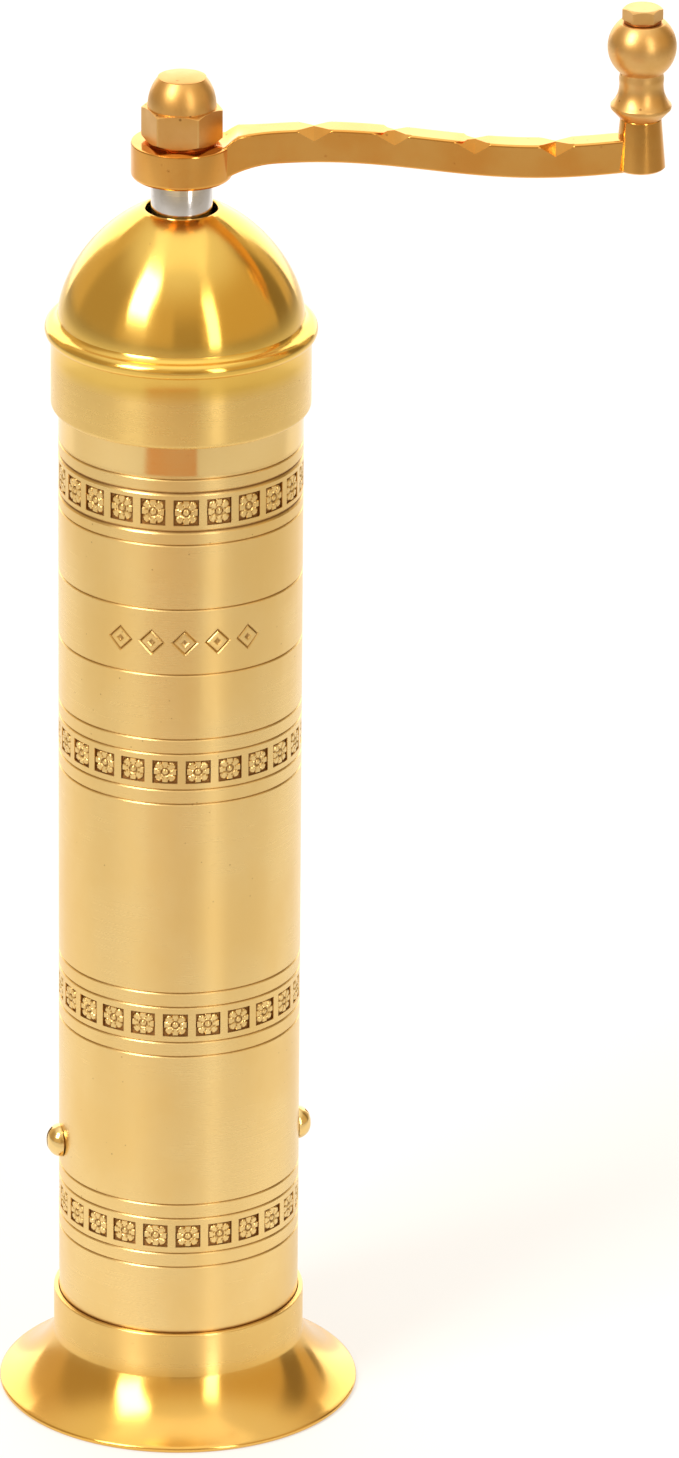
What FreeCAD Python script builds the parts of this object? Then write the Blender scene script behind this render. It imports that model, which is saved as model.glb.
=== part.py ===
import FreeCAD, Part
import math
import os

# Hand-cranked pepper mill. Millimetres, +Z up.
# Origin: on the axis of the tube, in the plane that the foot stands on. The crank points along +X.

V = FreeCAD.Vector
UP = V(0, 0, 1)
AXIS_BASE = V(0, 0, 0)

# ---------------------------------------------------------------- general fits
running_gap = 0.05          # radial room of a turning or sliding shaft
static_gap = 0.03           # radial room of a screwed, pressed or soldered joint
end_play = 0.08             # axial room beside a turning piece

# ---------------------------------------------------------------- tube
tube_radius = 19.0
tube_wall = 1.2
tube_length = 167.0
line_depth = 0.22           # fine turned lines
line_half_width = 0.22
band_line_offset = 5.4      # outer lines of every band, from the band's middle
band_inner_offset = 3.0     # lines beside the row of squares
top_moulding_offset = 3.17  # heavier lines of the top band
top_moulding_scale = 1.9
tube_chamfer = 0.3

# ---------------------------------------------------------------- foot
foot_radius = 28.5
foot_rim_height = 0.9
foot_wall = 1.2
flare_top = 9.3             # where the flare meets the straight collar
flare_sag = 1.05            # how far the flare bows in from a straight cone
collar_wall = 0.8
collar_length = 7.0         # how far the collar covers the tube
foot_seat_z = 9.5           # ledge that carries the end of the tube

# ---------------------------------------------------------------- bands on the tube, above the foot's seat
band_rises = (23.8, 60.1, 102.9, 146.0)
plain_band_rise = 124.5

# ---------------------------------------------------------------- burr carrier, held by two side screws
carrier_rise = 16.5         # underside of the carrier above the foot's seat
carrier_height = 24.0
carrier_wall = 3.75
ring_seat_rise = 16.0       # shoulder for the burr ring, above the carrier's underside
funnel_wall = 3.85          # wall left at the carrier's top
funnel_lip = 2.4            # width of the shoulder over the burr ring
ledge_height = 0.8          # straight part of the funnel over the burr ring

side_screw_rise = 17.0      # above the carrier's underside
side_screw_angle = 191.0    # direction of the first screw, degrees from +X
guide_turn = 197.0          # direction that the bridges are turned from, degrees from +X
side_screw_radius = 2.0
side_head_radius = 2.65
side_head_height = 2.2
side_screw_length = 4.6     # below the head
side_slot_width = 0.6
side_slot_depth = 0.9

# ---------------------------------------------------------------- burrs
burr_ring_height = 12.0
burr_ring_wall = 3.55       # at the narrowest place of the ring
fine_height = 4.2           # lower, fine part of both burrs
fine_spread = 0.65          # how much the fine part widens downwards
ring_mouth_spread = 1.2     # how much the ring widens upwards from its narrowest place
ring_tooth_count = 28
ring_tooth_depth = 0.6
burr_gap = 0.5              # radial, between ring and cone
cone_height = 12.6
cone_neck_radius = 5.4
cone_neck_height = 1.0
cone_coarse_slope = 4.4     # how much the cone narrows above its fine part
cone_tooth_count = 20
cone_tooth_depth = 0.45
cone_lip_room = 0.1         # between cone and ring, bottom faces, at the lowest setting

retainer_inset = 0.5        # above the carrier's underside
retainer_wall = 2.4
retainer_slot_width = 2.0
retainer_slot_depth = 1.0

# ---------------------------------------------------------------- bottom bridge and grind adjuster
bridge_thickness = 3.0
bridge_width = 8.0
bridge_boss_radius = 5.0
bridge_boss_length = 5.0    # below the strap
small_screw_radius = 1.0
small_head_radius = 1.7
small_head_height = 1.2
small_screw_grip = 6.0      # thread inside the carrier
small_slot_width = 0.5
small_slot_depth = 0.5
small_screw_inset = 1.95    # from the carrier's outside to the screw's axis

adjuster_radius = 3.0
grind_travel = 0.5          # each way from the middle setting
ball_radius = 2.0
ball_stand = 0.6            # ball's centre above the adjuster's tip
thumb_radius = 7.0
thumb_height = 4.5
thumb_gap = 2.5             # between lock nut and thumbwheel at the highest setting
thumb_flute_count = 18
thumb_flute_radius = 0.7
thumb_slot_width = 1.2
thumb_slot_depth = 1.2
lock_nut_flats = 10.0
lock_nut_height = 3.0

# ---------------------------------------------------------------- shaft and its guide
shaft_radius = 4.0
shaft_square = 5.6          # across the flats, through the cone
square_gap = 0.05           # each side of a square in its hole
clip_radius = 5.4
clip_thickness = 0.8
clip_groove_radius = 2.6
clip_opening = 3.0
shaft_tail = 1.5            # shaft below the clip
guide_thickness = 3.0
guide_rim_width = 3.85
guide_hub_radius = 6.9
guide_arm_width = 3.2
guide_arm_count = 3
bush_wall = 1.5
bush_flange_width = 1.0
bush_flange_height = 1.0
bush_stand = 0.6
spring_wire = 0.8
spring_turns = 3.5
spring_points_per_turn = 12 # that the coil's curve goes through
spring_inside_gap = 0.6     # between the shaft and the coil
spring_seat_height = 0.8
spring_seat_width = 2.2

# ---------------------------------------------------------------- lid
lid_gap = 0.1               # skirt over the tube
lid_skirt_wall = 1.05
lid_skirt_length = 10.3     # below the tube's rim
lid_edge_round = 0.8        # rolled lower edge of the skirt
lid_flare = 0.2             # widening under the bead
lid_flare_length = 2.4
lid_flare_bow = 0.06
bead_rise = 2.45            # middle of the bead above the tube's rim
bead_stand = 0.95           # bead beyond the skirt
bead_top_stand = 0.1
bead_half_height = 1.15
dome_base_rise = 4.4
dome_height = 19.3
dome_points = 14            # points along the dome's curve
dome_fullness = 1.704       # exponent of the dome's superellipse
dome_wall = 1.1
dome_hole_gap = 0.85         # around the shaft's collar
dome_hole_edge = 0.5        # flat around the hole

# ---------------------------------------------------------------- crank
collar_radius = 4.75
collar_rise = 5.1           # collar above the dome's top
collar_sleeve_length = 18.7
stud_shoulder = 0.5         # shaft's radius lost inside the collar
crank_square = 5.0
drive_inset = 0.3           # square ends below the hub's top, so that the nut clamps
stud_radius = 2.5
hub_radius = 7.85
hub_height = 5.7
hub_edge = 0.8
arm_reach = 70.2
arm_width = 4.5
arm_height = 5.3
arm_swing = 1.2             # half of the arm's rise and fall
arm_crest_x = 21.5
arm_trough_inset = 16.2     # trough of the arm, inside the knob's axis
arm_middle_rise = 4.4       # middle line of the arm above the hub's underside
arm_neck_width = 10.0
arm_neck_length = 6.5
notch_count = 4
notch_first_x = 20.2
notch_last_inset = 13.0
notch_half_length = 3.0
notch_depth = 1.65
boss_height = 8.1
boss_bottom_radius = 3.9
boss_top_radius = 3.2
boss_rise = 1.75            # boss's underside above the hub's underside

# ---------------------------------------------------------------- acorn nut and washer
washer_thickness = 0.35
washer_radius = 5.0
nut_flats = 11.0
nut_hex_height = 5.3
nut_chamfer = 0.85
bell_radius = 5.3
bell_height = 4.85
bell_sunk = 0.5             # bell's foot inside the hexagon
nut_turn = 23.4 - 90        # degrees from +X to a corner
bell_crown = 6.41           # half-height of the ellipse that the bell follows
nut_clear = 0.5             # beyond the nut's corners
stud_height = 8.0           # stud above the washer
nut_bore_spare = 0.6

# ---------------------------------------------------------------- knob
knob_bottom_radius = 3.3
knob_flange_radius = 4.68
knob_neck_radius = 3.45
knob_ball_radius = 5.3
knob_flange_rise = 1.5
knob_flange_band = 0.5
knob_neck_rise = 6.0
knob_crease_radius = 3.3
knob_ball_rise = 11.4
knob_height = 15.3
knob_washer_radius = 2.9
knob_washer_thickness = 0.35
bolt_radius = 2.0
bolt_flats = 5.5
bolt_head_height = 1.95
bolt_end_cover = 1.2        # metal left below the bolt in the boss

# ---------------------------------------------------------------- places worked out from the sizes
tube_bore = tube_radius - tube_wall
tube_top = foot_seat_z + tube_length
collar_outer = tube_radius + static_gap + collar_wall

carrier_z = foot_seat_z + carrier_rise
carrier_top = carrier_z + carrier_height
carrier_outer = tube_bore - static_gap
carrier_bore = carrier_outer - carrier_wall
ring_seat_z = carrier_z + ring_seat_rise
ring_bottom = ring_seat_z - burr_ring_height
ring_outer = carrier_bore - static_gap
ring_narrow = ring_outer - burr_ring_wall
ring_fine_top = ring_bottom + fine_height
side_screw_z = carrier_z + side_screw_rise

cone_bottom = ring_bottom + grind_travel + cone_lip_room
cone_top = cone_bottom + cone_height
cone_fine_top = cone_bottom + fine_height
cone_fine_radius = ring_narrow - burr_gap
clip_top = cone_bottom
clip_bottom = clip_top - clip_thickness
shaft_bottom = clip_bottom - shaft_tail

bridge_top = carrier_z
bridge_bottom = bridge_top - bridge_thickness
boss_end = bridge_bottom - bridge_boss_length
ball_z = shaft_bottom - ball_radius - running_gap
adjuster_tip = ball_z - ball_stand
small_screw_circle = carrier_outer - small_screw_inset
lock_nut_top = boss_end
lock_nut_bottom = lock_nut_top - lock_nut_height
thumb_top = lock_nut_bottom - thumb_gap - grind_travel
thumb_bottom = thumb_top - thumb_height

guide_top = carrier_top + guide_thickness
bush_bore = shaft_radius + running_gap
bush_outer = bush_bore + bush_wall
bush_flange_bottom = carrier_top - bush_flange_height
spring_seat_top = cone_top + spring_seat_height
spring_mean = shaft_radius + spring_inside_gap + spring_wire / 2

dome_base = tube_top + dome_base_rise
dome_radius = tube_radius + lid_gap
lid_skirt_outer = tube_radius + lid_gap + lid_skirt_wall
lid_bottom = tube_top - lid_skirt_length
dome_hole = collar_radius + dome_hole_gap
dome_share = dome_fullness / 2


def dome_rise(radius, base_radius, height):
    """Height of the superellipse above its base at a radius."""
    cosine = (radius / base_radius) ** dome_share
    return height * math.sqrt(1 - cosine ** 2) ** (1 / dome_share)


dome_top = dome_base + dome_rise(dome_hole + dome_hole_edge, dome_radius, dome_height)
hub_bottom = dome_top + collar_rise
hub_top = hub_bottom + hub_height
collar_bottom = hub_bottom - collar_sleeve_length
stud_shaft_radius = shaft_radius - stud_shoulder
washer_top = hub_top + washer_thickness
stud_top = washer_top + stud_height
nut_hex_top = washer_top + nut_hex_height
nut_top = nut_hex_top + bell_height
nut_corner = nut_flats / math.sqrt(3)

arm_trough_x = arm_reach - arm_trough_inset
arm_middle_z = hub_bottom + arm_middle_rise
notch_last_x = arm_reach - notch_last_inset
boss_bottom = hub_bottom + boss_rise
boss_top = boss_bottom + boss_height
knob_z = boss_top + end_play
knob_washer_z = knob_z + knob_height + end_play
bolt_head_z = knob_washer_z + knob_washer_thickness


# ---------------------------------------------------------------- helpers
def cylinder(radius, z_low, z_high, x=0.0, y=0.0):
    return Part.makeCylinder(radius, z_high - z_low, V(x, y, z_low), UP)


def tube_between(outer, inner, z_low, z_high):
    return cylinder(outer, z_low, z_high).cut(cylinder(inner, z_low - 1, z_high + 1))


def line(a, b):
    return Part.LineSegment(V(a[0], 0, a[1]), V(b[0], 0, b[1])).toShape()


def arc(a, middle, b):
    return Part.Arc(V(a[0], 0, a[1]), V(middle[0], 0, middle[1]), V(b[0], 0, b[1])).toShape()


def smooth(points):
    curve = Part.BSplineCurve()
    curve.interpolate([V(r, 0, z) for r, z in points])
    return curve.toShape()


def turned(edges):
    """Full turn of a closed outline in the XZ plane about Z."""
    face = Part.Face(Part.Wire(edges))
    return face.revolve(AXIS_BASE, UP, 360)


def turned_polygon(points):
    closed = list(points) + [points[0]]
    return turned([line(a, b) for a, b in zip(closed[:-1], closed[1:])])


def hexagon(flats, z_low, z_high, turn=0.0):
    radius = flats / math.sqrt(3)
    corners = []
    for i in range(7):
        angle = math.radians(turn + 60 * i)
        corners.append(V(radius * math.cos(angle), radius * math.sin(angle), z_low))
    return Part.Face(Part.makePolygon(corners)).extrude(V(0, 0, z_high - z_low))


def square_bar(flats, z_low, z_high):
    half = flats / 2
    return Part.makeBox(flats, flats, z_high - z_low, V(-half, -half, z_low))


def tetrahedron(points):
    faces = []
    for skip in range(4):
        corner = [V(*p) for i, p in enumerate(points) if i != skip]
        faces.append(Part.Face(Part.makePolygon(corner + [corner[0]])))
    return Part.Solid(Part.Shell(faces))


def around(shape, count, start=0.0):
    copies = []
    for i in range(count):
        copy = shape.copy()
        copy.rotate(AXIS_BASE, UP, start + 360 * i / count)
        copies.append(copy)
    return copies


def round_head(radius, height, slot_width, slot_depth):
    """Domed, slotted head standing on z = 0, top up."""
    dome = turned([line((0, 0), (radius, 0)),
                   line((radius, 0), (radius, 0.25 * height)),
                   arc((radius, 0.25 * height), (0.72 * radius, 0.79 * height), (0, height)),
                   line((0, height), (0, 0))])
    corner = V(-slot_width / 2, -1.5 * radius, height - slot_depth)
    slot = Part.makeBox(slot_width, 3 * radius, slot_depth, corner)
    return dome.cut(slot)


def save(name, shape):
    shape.exportStep("parts/" + name + ".step")
    box = shape.BoundBox
    print("%-20s solids %d  valid %s  volume %9.2f  z %7.2f to %7.2f" % (
        name, len(shape.Solids), shape.isValid(), shape.Volume, box.ZMin, box.ZMax))


# ---------------------------------------------------------------- tube
def body_tube():
    def groove(z, scale):
        w = line_half_width * scale
        d = line_depth * math.sqrt(scale)
        return [(tube_radius, z - w), (tube_radius - d, z), (tube_radius, z + w)]

    grooves = []
    for number, rise in enumerate(band_rises):
        z = foot_seat_z + rise
        is_top = number == len(band_rises) - 1
        inner = top_moulding_offset if is_top else band_inner_offset
        scale = top_moulding_scale if is_top else 1.0
        for side in (-1, 1):
            grooves += [(z + side * band_line_offset, 1.0), (z + side * inner, scale)]
    plain = foot_seat_z + plain_band_rise
    grooves += [(plain - band_line_offset, 1.0), (plain + band_line_offset, 1.0)]

    outline = [(tube_bore, foot_seat_z), (tube_radius - tube_chamfer, foot_seat_z)]
    outline += [(tube_radius, foot_seat_z + tube_chamfer)]
    for z, scale in sorted(grooves):
        outline += groove(z, scale)
    outline += [(tube_radius, tube_top - tube_chamfer), (tube_radius - tube_chamfer, tube_top)]
    outline += [(tube_bore, tube_top)]
    tube = turned_polygon(outline)

    hole_start = V(-2 * tube_radius, 0, side_screw_z)
    hole = Part.makeCylinder(side_screw_radius + static_gap, 4 * tube_radius, hole_start, V(1, 0, 0))
    hole.rotate(V(0, 0, side_screw_z), UP, side_screw_angle)
    return tube.cut(hole)


# ---------------------------------------------------------------- foot
def bowed(a, b, sag):
    """Point on the middle of an arc from a to b that bows towards the axis and down."""
    dr = b[0] - a[0]
    dz = b[1] - a[1]
    length = math.hypot(dr, dz)
    return ((a[0] + b[0]) / 2 + sag * dz / length, (a[1] + b[1]) / 2 - sag * dr / length)


def flared_foot():
    rim_inner = foot_radius - 1.3 * foot_wall
    rim_top = (foot_radius - 0.25, foot_rim_height)
    flare_end = (collar_outer, flare_top)
    lip_top = foot_seat_z + collar_length
    inner_low = (rim_inner, 0)
    inner_high = (tube_bore, flare_top - foot_wall)
    outer = [line(inner_low, (foot_radius - 0.35, 0)),
             arc((foot_radius - 0.35, 0), (foot_radius, 0.42), rim_top),
             arc(rim_top, bowed(rim_top, flare_end, -flare_sag), flare_end),
             line(flare_end, (collar_outer, lip_top - 0.25)),
             arc((collar_outer, lip_top - 0.25), (collar_outer - 0.08, lip_top - 0.08),
                 (collar_outer - 0.25, lip_top))]
    inner = [line((collar_outer - 0.25, lip_top), (tube_radius + static_gap, lip_top)),
             line((tube_radius + static_gap, lip_top), (tube_radius + static_gap, foot_seat_z)),
             line((tube_radius + static_gap, foot_seat_z), (tube_bore, foot_seat_z)),
             line((tube_bore, foot_seat_z), inner_high),
             arc(inner_high, bowed(inner_low, inner_high, -flare_sag), inner_low)]
    return turned(outer + inner)


# ---------------------------------------------------------------- carrier and what it holds
def small_screw_places():
    """Angles of the two small screws under and the three over the carrier."""
    under = [guide_turn + 90, guide_turn + 270]
    over = [guide_turn + 30 + 120 * i for i in range(guide_arm_count)]
    return under, over


def at_angle(radius, degrees):
    return radius * math.cos(math.radians(degrees)), radius * math.sin(math.radians(degrees))


def burr_carrier():
    ledge = carrier_bore - funnel_lip
    mouth = carrier_outer - funnel_wall
    shell = turned_polygon([(carrier_bore, carrier_z), (carrier_outer, carrier_z),
                            (carrier_outer, carrier_top), (mouth, carrier_top),
                            (ledge, ring_seat_z + ledge_height), (ledge, ring_seat_z),
                            (carrier_bore, ring_seat_z)])
    cuts = []
    for angle in (side_screw_angle, side_screw_angle + 180):
        x, y = at_angle(1.0, angle)
        reach = tube_radius - side_screw_length - 0.3
        start = V(x * reach, y * reach, side_screw_z)
        cuts.append(Part.makeCylinder(side_screw_radius + static_gap, tube_radius, start, V(x, y, 0)))
    under, over = small_screw_places()
    for angle in under:
        x, y = at_angle(small_screw_circle, angle)
        thread_end = carrier_z + small_screw_grip + 0.5
        cuts.append(cylinder(small_screw_radius + static_gap, carrier_z - 1, thread_end, x, y))
    for angle in over:
        x, y = at_angle(small_screw_circle, angle)
        thread_end = carrier_top - small_screw_grip - 0.5
        cuts.append(cylinder(small_screw_radius + static_gap, thread_end, carrier_top + 1, x, y))
    return shell.cut(Part.makeCompound(cuts))


def carrier_screws():
    screws = []
    for angle in (side_screw_angle, side_screw_angle + 180):
        head = round_head(side_head_radius, side_head_height, side_slot_width, side_slot_depth)
        screw = head.fuse(cylinder(side_screw_radius, -side_screw_length, 0.2)).removeSplitter()
        screw.rotate(AXIS_BASE, UP, 90)
        screw.rotate(AXIS_BASE, V(0, 1, 0), 90)
        screw.translate(V(tube_radius, 0, side_screw_z))
        screw.rotate(AXIS_BASE, UP, angle)
        screws.append(screw)
    return Part.makeCompound(screws)


def tooth_cutter(low, high, depth, outward):
    """Three-sided groove along a burr's flank, from low to high, open outwards (cone) or inwards (ring)."""
    sign = -1 if outward else 1
    over = 0.5
    wires = []
    for radius, z in (low, high):
        half = 0.9 * depth
        points = [V(radius + sign * depth, 0, z), V(radius - sign * over, half * (1 + over / depth), z),
                  V(radius - sign * over, -half * (1 + over / depth), z)]
        wires.append(Part.makePolygon(points + [points[0]]))
    return Part.makeLoft(wires, True, True)


def burr_ring():
    wide_low = ring_narrow + fine_spread
    wide_high = ring_narrow + ring_mouth_spread
    ring = turned_polygon([(wide_low, ring_bottom), (ring_outer, ring_bottom), (ring_outer, ring_seat_z),
                           (wide_high, ring_seat_z), (ring_narrow, ring_fine_top)])
    slope = (wide_low - ring_narrow) / fine_height
    throat = (ring_narrow, ring_fine_top)
    fine = tooth_cutter((wide_low + slope, ring_bottom - 1), throat, ring_tooth_depth, False)
    rise = (wide_high - ring_narrow) / (ring_seat_z - ring_fine_top)
    coarse = tooth_cutter(throat, (wide_high + rise, ring_seat_z + 1), ring_tooth_depth, False)
    cutters = around(fine, ring_tooth_count) + around(coarse, ring_tooth_count // 2)
    return ring.cut(Part.makeCompound(cutters))


def burr_cone():
    wide = cone_fine_radius + fine_spread
    shoulder = max(cone_fine_radius - cone_coarse_slope, cone_neck_radius)
    body = turned_polygon([(0, cone_bottom), (wide, cone_bottom), (cone_fine_radius, cone_fine_top),
                           (shoulder, cone_top - cone_neck_height), (cone_neck_radius, cone_top), (0, cone_top)])
    slope = (wide - cone_fine_radius) / fine_height
    waist = (cone_fine_radius, cone_fine_top)
    fine = tooth_cutter((wide + slope, cone_bottom - 1), waist, cone_tooth_depth, True)
    coarse = tooth_cutter(waist, (shoulder, cone_top - cone_neck_height), 2 * cone_tooth_depth, True)
    cutters = around(fine, cone_tooth_count) + around(coarse, cone_tooth_count // 4)
    hole = square_bar(shaft_square + 2 * square_gap, cone_bottom - 1, cone_top + 1)
    return body.cut(Part.makeCompound(cutters)).cut(hole)


def ring_retainer():
    low = carrier_z + retainer_inset
    ring = tube_between(ring_outer, ring_outer - retainer_wall, low, ring_bottom)
    slots = []
    for turn in (45, 135):
        slot = Part.makeBox(3 * tube_radius, retainer_slot_width, retainer_slot_depth,
                            V(-1.5 * tube_radius, -retainer_slot_width / 2, low))
        slot.rotate(AXIS_BASE, UP, guide_turn + turn)
        slots.append(slot)
    return ring.cut(Part.makeCompound(slots))


def bottom_bridge():
    strap = Part.makeBox(4 * tube_radius, bridge_width, bridge_thickness,
                         V(-2 * tube_radius, -bridge_width / 2, bridge_bottom))
    strap.rotate(AXIS_BASE, UP, guide_turn + 90)
    strap = strap.common(cylinder(carrier_outer, bridge_bottom, bridge_top))
    bridge = strap.fuse(cylinder(bridge_boss_radius, boss_end, bridge_top)).removeSplitter()
    cuts = [cylinder(adjuster_radius + running_gap, boss_end - 1, bridge_top + 1)]
    for angle in small_screw_places()[0]:
        x, y = at_angle(small_screw_circle, angle)
        cuts.append(cylinder(small_screw_radius + static_gap, bridge_bottom - 1, bridge_top + 1, x, y))
    return bridge.cut(Part.makeCompound(cuts))


def small_screw(x, y, face_z, direction, length):
    """Slotted round-head screw on a face, its thread pointing away from the head."""
    head = round_head(small_head_radius, small_head_height, small_slot_width, small_slot_depth)
    screw = head.fuse(cylinder(small_screw_radius, -length, 0.1)).removeSplitter()
    if direction < 0:
        screw.rotate(AXIS_BASE, V(1, 0, 0), 180)
    screw.translate(V(x, y, face_z))
    return screw


def bridge_screws():
    length = bridge_thickness + small_screw_grip
    return Part.makeCompound([small_screw(*at_angle(small_screw_circle, a), bridge_bottom, -1, length)
                              for a in small_screw_places()[0]])


def guide_screws():
    length = guide_thickness + small_screw_grip
    return Part.makeCompound([small_screw(*at_angle(small_screw_circle, a), guide_top, 1, length)
                              for a in small_screw_places()[1]])


def guide_bridge():
    rim = tube_between(carrier_outer, carrier_outer - guide_rim_width, carrier_top, guide_top)
    hub = cylinder(guide_hub_radius, carrier_top, guide_top)
    corner = V(0, -guide_arm_width / 2, carrier_top)
    arm = Part.makeBox(carrier_outer - guide_rim_width / 2, guide_arm_width, guide_thickness, corner)
    shape = rim.fuse([hub] + around(arm, guide_arm_count, guide_turn + 30)).removeSplitter()
    cuts = [cylinder(bush_outer + static_gap, carrier_top - 1, guide_top + 1)]
    for angle in small_screw_places()[1]:
        x, y = at_angle(small_screw_circle, angle)
        cuts.append(cylinder(small_screw_radius + static_gap, carrier_top - 1, guide_top + 1, x, y))
    return shape.cut(Part.makeCompound(cuts))


def guide_bush():
    flange = tube_between(bush_outer + bush_flange_width, bush_bore, bush_flange_bottom, carrier_top)
    sleeve = tube_between(bush_outer, bush_bore, carrier_top, guide_top + bush_stand)
    return flange.fuse(sleeve).removeSplitter()


def return_spring():
    low = spring_seat_top + spring_wire / 2
    high = bush_flange_bottom - spring_wire / 2
    count = round(spring_turns * spring_points_per_turn)

    def on_helix(step):
        angle = 2 * math.pi * step / spring_points_per_turn
        z = low + (high - low) * step / count
        return V(spring_mean * math.cos(angle), spring_mean * math.sin(angle), z)

    coil = Part.BSplineCurve()
    coil.interpolate([on_helix(i) for i in range(count + 1)])
    start = coil.tangent(coil.FirstParameter)[0]
    section = Part.Wire(Part.makeCircle(spring_wire / 2, on_helix(0), start))
    return Part.Wire(coil.toShape()).makePipeShell([section], True, False)


def spring_seat():
    outer = shaft_radius + spring_seat_width
    return tube_between(outer, shaft_radius + running_gap, cone_top, spring_seat_top)


# ---------------------------------------------------------------- shaft
def drive_shaft():
    lower = square_bar(shaft_square, shaft_bottom, cone_top)
    lower = lower.common(cylinder(shaft_radius, shaft_bottom, cone_top))
    middle = cylinder(shaft_radius, cone_top, collar_bottom)
    upper = cylinder(stud_shaft_radius, collar_bottom, hub_bottom)
    drive_top = hub_top - drive_inset
    drive = square_bar(crank_square, hub_bottom, drive_top)
    drive = drive.common(cylinder(stud_shaft_radius, hub_bottom, drive_top))
    stud = cylinder(stud_radius, drive_top, stud_top)
    edge = stud_top - 0.5
    bevel = [(stud_radius - 0.5, stud_top), (stud_radius + 1, stud_top), (stud_radius + 1, edge - 0.5)]
    stud = stud.cut(turned_polygon(bevel))
    shaft = lower.fuse([middle, upper, drive, stud]).removeSplitter()
    groove = tube_between(2 * shaft_radius, clip_groove_radius, clip_bottom - static_gap, clip_top)
    return shaft.cut(groove)


def cone_clip():
    ring = tube_between(clip_radius, clip_groove_radius + static_gap, clip_bottom, clip_top)
    corner = V(0, -clip_opening / 2, clip_bottom - clip_thickness / 2)
    mouth = Part.makeBox(2 * clip_radius, clip_opening, 2 * clip_thickness, corner)
    return ring.cut(mouth)


def shaft_collar():
    sleeve = tube_between(collar_radius, stud_shaft_radius + running_gap, collar_bottom, hub_bottom)
    edge = 0.25
    bevel = turned_polygon([(collar_radius - edge, hub_bottom), (collar_radius + 1, hub_bottom),
                            (collar_radius + 1, hub_bottom - edge - 1)])
    return sleeve.cut(bevel)


def thrust_ball():
    return Part.makeSphere(ball_radius, V(0, 0, ball_z))


def adjusting_screw():
    thread = cylinder(adjuster_radius, thumb_top, adjuster_tip)
    wheel = cylinder(thumb_radius, thumb_bottom, thumb_top)
    flute = cylinder(thumb_flute_radius, thumb_bottom - 1, thumb_top + 1, thumb_radius + 0.3, 0)
    wheel = wheel.cut(Part.makeCompound(around(flute, thumb_flute_count)))
    slot = Part.makeBox(3 * thumb_radius, thumb_slot_width, thumb_slot_depth,
                        V(-1.5 * thumb_radius, -thumb_slot_width / 2, thumb_bottom))
    screw = thread.fuse(wheel).removeSplitter().cut(slot)
    return screw.cut(Part.makeSphere(ball_radius + running_gap, V(0, 0, ball_z)))


def adjuster_lock_nut():
    nut = hexagon(lock_nut_flats, lock_nut_bottom, lock_nut_top)
    return nut.cut(cylinder(adjuster_radius + running_gap, lock_nut_bottom - 1, lock_nut_top + 1))


# ---------------------------------------------------------------- lid
def superellipse(base_radius, base_z, height, r_end, count):
    """Points of the dome from its base up to the radius r_end."""
    last = math.acos((r_end / base_radius) ** dome_share)
    points = []
    for i in range(count + 1):
        t = last * i / count
        radius = base_radius * math.cos(t) ** (1 / dome_share)
        points.append((radius, base_z + height * math.sin(t) ** (1 / dome_share)))
    return points


def dome_lid():
    bead_z = tube_top + bead_rise
    bead_low = (lid_skirt_outer + lid_flare, bead_z - bead_half_height)
    bead_side = (lid_skirt_outer + bead_stand, bead_z)
    bead_high = (lid_skirt_outer + bead_top_stand, bead_z + bead_half_height)
    skirt_turn = (lid_skirt_outer, bead_low[1] - lid_flare_length)
    skirt_middle = ((skirt_turn[0] + bead_low[0]) / 2 - lid_flare_bow, (skirt_turn[1] + bead_low[1]) / 2)
    edge_low = (lid_skirt_outer - lid_edge_round, lid_bottom)
    edge_high = (lid_skirt_outer, lid_bottom + lid_edge_round)
    edge_inset = lid_edge_round * (1 - math.sqrt(0.5))
    edge_middle = (lid_skirt_outer - edge_inset, lid_bottom + edge_inset)
    outer_points = superellipse(dome_radius, dome_base, dome_height, dome_hole + dome_hole_edge, dome_points)
    inner_base = dome_radius - dome_wall
    inner_height = dome_height - dome_wall
    inner_points = superellipse(inner_base, dome_base, inner_height, dome_hole, dome_points)
    bore = tube_radius + lid_gap
    top_z = outer_points[-1][1]
    edges = [line((bore, lid_bottom), edge_low),
             arc(edge_low, edge_middle, edge_high),
             line(edge_high, skirt_turn),
             arc(skirt_turn, skirt_middle, bead_low),
             arc(bead_low, bead_side, bead_high),
             line(bead_high, outer_points[0]),
             smooth(outer_points),
             line(outer_points[-1], (dome_hole, top_z)),
             line((dome_hole, top_z), inner_points[-1]),
             smooth(inner_points[::-1]),
             line(inner_points[0], (inner_base, tube_top)),
             line((inner_base, tube_top), (bore, tube_top)),
             line((bore, tube_top), (bore, lid_bottom))]
    return turned(edges)


# ---------------------------------------------------------------- crank
def arm_height_at(x):
    phase = math.pi * (x - arm_crest_x) / (arm_trough_x - arm_crest_x)
    return arm_middle_z + arm_swing * math.cos(phase)


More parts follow.
